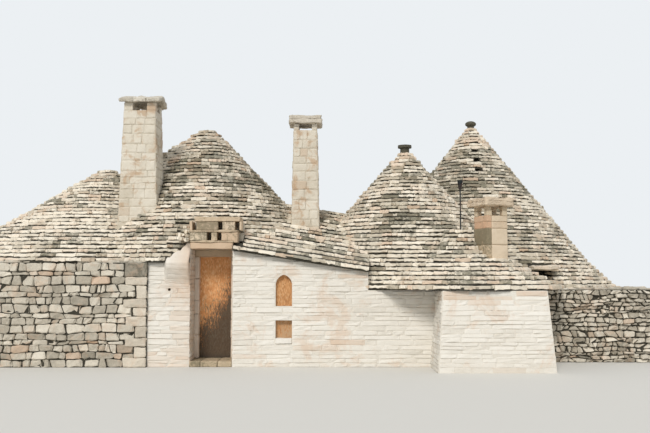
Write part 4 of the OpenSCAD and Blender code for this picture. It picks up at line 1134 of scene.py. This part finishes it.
flatCap("middleChimneyCap", "middle_chimney_head", middleHead, "capStone", "roof_stone", 37)
flatCap("smallChimneyCap", "small_chimney_head", smallHead, "lichenStone", "lichen_stone", 38)


# The small chimney is of cut blocks, turned on the roof
def turnedBlocks(node, size, rows, rng):
    # blocks turned with their chimney, from rows of foot, top and the looks of left and right block
    middle, turn = middleOf(node), size["turn"]
    half = size["width"] / 2 + 0.007
    split = size["split"] * size["width"] - half
    blocks = []
    for low, high, *stones in rows:
        for start, end, stone in zip((-half, split), (split, half), stones):
            wide, deep = (end - start) / 2, half + rng.uniform(0, 0.006)
            x, y = middle[:2] + (start + end) / 2 * np.array([math.cos(turn), math.sin(turn)])
            blocks.append({"low": (x - wide, y - deep, low + 0.002),
                           "high": (x + wide, y + deep, high - 0.002), "turn": turn, "stone": stone})
    return blocks


smallTop = highOf("small_chimney_stack")[2]
smallRows = [
    # foot and top of each row of blocks; tone, age and warmth of its left and right block
    (smallTop - 0.13, smallTop, [0.5, 0.3, 0.8], [0.85, 0.15, 0.1]),
    (smallTop - 0.27, smallTop - 0.13, [0.4, 0.2, 1.0], [0.8, 0.2, 0.2]),
    (smallTop - 0.62, smallTop - 0.27, [0.0, 1.0, 0.0], [0.9, 0.1, 0.05]),
    (smallTop - 1.02, smallTop - 0.62, [0.3, 0.7, 0.1], [1.0, 0.1, 0.1]),
]
smallStones = turnedBlocks("small_chimney_stack", smallHead, smallRows, np.random.default_rng(39))
layBlocks("smallChimneyBlocks", smallStones, blockLook, "cutStone", "lichen_stone", 39)


# Doorway: jambs of upright stones, two lintels and a worn threshold
def cutRow(low, high, axis, narrow, wide, rng):
    # a box cut into stones along one axis
    gap = 0.004
    ends = cutPlaces(high[axis] - low[axis], narrow, wide, rng) + low[axis]
    blocks = []
    for start, end in zip(ends[:-1], ends[1:]):
        first, last = np.array(low, float), np.array(high, float)
        first[axis], last[axis] = start + gap / 2, end - gap / 2
        stone = [rng.uniform(0.3, 0.9), rng.beta(1.5, 3.0), rng.uniform(0, 0.5)]
        blocks.append({"low": first, "high": last, "stone": stone})
    return blocks


doorway = {"jamb": 0.1, "lintel": 0.13, "frontDepth": 0.25, "innerLintel": 0.15, "proud": 0.006}
rng = np.random.default_rng(41)
jambLow, jambHigh = boxes["door_jambs"]
jambStones = []
for x in (jambLow[0], jambHigh[0] - doorway["jamb"]):
    low, high = at(x, jambLow[1] - doorway["proud"], jambLow[2]), at(x + doorway["jamb"], *jambHigh[1:])
    jambStones += cutRow(low, high, 2, 0.32, 0.62, rng)
for stone in jambStones:
    stone["stone"] = [rng.uniform(0.8, 1.1), rng.uniform(0.0, 0.25), 0.5]
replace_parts(layBlocks("jambStones", jambStones, blockLook, "whitewash", "cut_stone", 42), "door_jambs")
lintelStones = [
    {"low": (doorLow[0], doorLow[1] - 0.004, doorHigh[2] - doorway["lintel"]),
     "high": (doorHigh[0], doorLow[1] + doorway["frontDepth"], doorHigh[2]), "stone": [0.7, 0.2, 0.45]},
    {"low": (doorLow[0], jambLow[1] - doorway["proud"], doorLow[2]),
     "high": (doorHigh[0], jambHigh[1], doorLow[2] + doorway["innerLintel"]), "stone": [0.5, 0.4, 0.3]}]
lintelLook = dict(blockLook, cells=20, size=0.3, rough=0.005)
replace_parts(layBlocks("lintelStones", lintelStones, lintelLook, "cutStone", "cut_stone", 43), "door_lintels")
treadLow, treadHigh = boxes["door_threshold"]
treads = cutRow(treadLow, treadHigh, 0, 0.24, 0.42, rng)
for stone in treads:
    stone["stone"] = [rng.uniform(0.0, 0.25), rng.uniform(0.4, 0.8), 0.0]
treadLook = dict(blockLook, edge=0.018, rough=0.005)
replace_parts(layBlocks("thresholdStones", treads, treadLook, "cutStone", "cut_stone", 44), "door_threshold")

# Dovecote over the doorway: two rows of blocks with gaps for the holes, between slabs
dovecote = {"slab": 0.04, "row": 0.18, "top": 0.1, "hole": 0.09, "depth": 0.35,
            "low": [0.36, 0.575], "up": [0.055, 0.595, 0.95],  # where the holes of each row begin
            "topInset": (0.1, 0.03), "lowInset": (0, 0.085)}   # how far the slabs end inside the whole width
left, right = doveLow[0], doveHigh[0]
front = lowOf("dovecote_blocks")[1]
lowRow, upRow = doveLow[2] + dovecote["slab"], doveLow[2] + 2 * dovecote["slab"] + dovecote["row"]
birdStones = []
for level, places, inset in ((lowRow, dovecote["low"], dovecote["lowInset"][1]), (upRow, dovecote["up"], 0)):
    starts = [0] + [place + dovecote["hole"] for place in places]
    for start, end in zip(starts, places + [right - left - inset]):
        low = (left + start, front + rng.uniform(-0.008, 0.006), level - 0.003)
        high = (left + end, front + dovecote["depth"], level + dovecote["row"] + 0.003)
        stone = [rng.uniform(0.5, 1.1), rng.beta(2.0, 2.5), rng.uniform(0.0, 0.5)]
        birdStones.append({"low": low, "high": high, "stone": stone})
birdLook = dict(blockLook, cells=16, edge=0.009, rough=0.003)
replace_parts(layBlocks("dovecoteStones", birdStones, birdLook, "cutStone", "cut_stone", 45), "dovecote_blocks")
birdSlabs = []
for level, part, inset in ((doveLow[2], "slab", "lowInset"), (upRow - dovecote["slab"], "slab", "lowInset"),
                           (doveHigh[2] - dovecote["top"], "top", "topInset")):
    start, end = dovecote[inset]
    birdSlabs.append({"low": (left + start, doveLow[1] + 0.006, level),
                      "high": (right - end, doveHigh[1], level + dovecote[part]),
                      "stone": [rng.uniform(0.4, 0.7), 0.55, 0.15]})
coverLook = dict(blockLook, cells=24, edge=0.012, rough=0.006, size=0.25)
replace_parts(layBlocks("dovecoteSlabs", birdSlabs, coverLook, "cutStone", "cut_stone", 46), "dovecote_slabs")

# Hood slab and niche sill
hoodStone = [boxBlock("hood_slab", [0.7, 0.5, 0.1])]
hoodLook = dict(slabLook, lean=0.0)
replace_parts(layBlocks("hoodStone", hoodStone, hoodLook, "roofStone", "cut_stone", 47), "hood_slab")
sillStone = [boxBlock("niche_sill", [0.8, 0.2, 0.0])]
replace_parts(layBlocks("sillStone", sillStone, blockLook, "whitewash", "whitewash", 48), "niche_sill")


# Camera, floor and light
def addObject(name, data):
    made = bpy.data.objects.new(name, data)
    scene.collection.objects.link(made)
    return made


scene = bpy.context.scene
view = {"place": (0.9285, -20.54, 1.79), "lens": 44.9, "sensor": 36, "tilt": 4.48, "far": 500}
camera = addObject("camera", bpy.data.cameras.new("camera"))
camera.location = view["place"]
camera.rotation_euler = (math.radians(90 + view["tilt"]), 0, 0)
camera.data.lens = view["lens"]
camera.data.sensor_width = view["sensor"]
camera.data.clip_end = view["far"]
scene.camera = camera

light = {"sky": 0.62, "skyColour": (0.93, 0.96, 1.0, 1), "behind": colour(236, 240, 243),
         "sun": 2.0, "sunColour": (1.0, 0.97, 0.92), "softness": 16, "from": (0.3, 1.0, -0.85)}
sun = addObject("skyLight", bpy.data.lights.new("skyLight", "SUN"))
sun.data.energy = light["sun"]
sun.data.angle = math.radians(light["softness"])
sun.data.color = light["sunColour"]
sun.rotation_mode = "QUATERNION"
sun.rotation_quaternion = Vector(light["from"]).to_track_quat("-Z", "Y")

scene.world = bpy.data.worlds.new("studio")
sky = Tree(scene.world)
rays = sky.add("LightPath")
seen = sky.add("Math", {0: rays["Is Camera Ray"], 1: rays["Is Glossy Ray"]}, operation="MAXIMUM")
around = sky.add("Background", {"Color": light["skyColour"], "Strength": light["sky"]})
behind = sky.add("Background", {"Color": light["behind"]})
blend = sky.add("MixShader", {0: seen[0], 1: around[0], 2: behind[0]})
sky.add("OutputWorld", {0: blend[0]})

floor = {"side": 150, "colour": colour(214, 212, 206), "rough": 0.95}
floorTree = Tree(bpy.data.materials.new("studioFloor"))
floorInputs = {"Base Color": floor["colour"], "Roughness": floor["rough"]}
floorShader = floorTree.add("BsdfPrincipled", floorInputs)
floorTree.add("OutputMaterial", {"Surface": floorShader["BSDF"]})
floorMesh = bpy.data.meshes.new("studioFloor")
floorCorners = [(x * floor["side"], y * floor["side"], 0) for x, y in ((-1, -1), (1, -1), (1, 1), (-1, 1))]
floorMesh.from_pydata(floorCorners, [], [(0, 1, 2, 3)])
floorMesh.materials.append(floorTree.owner)
addObject("studioFloor", floorMesh)
scene.view_settings.view_transform = "Standard"
print("camera, light and floor set")

bpy.context.view_layer.update()
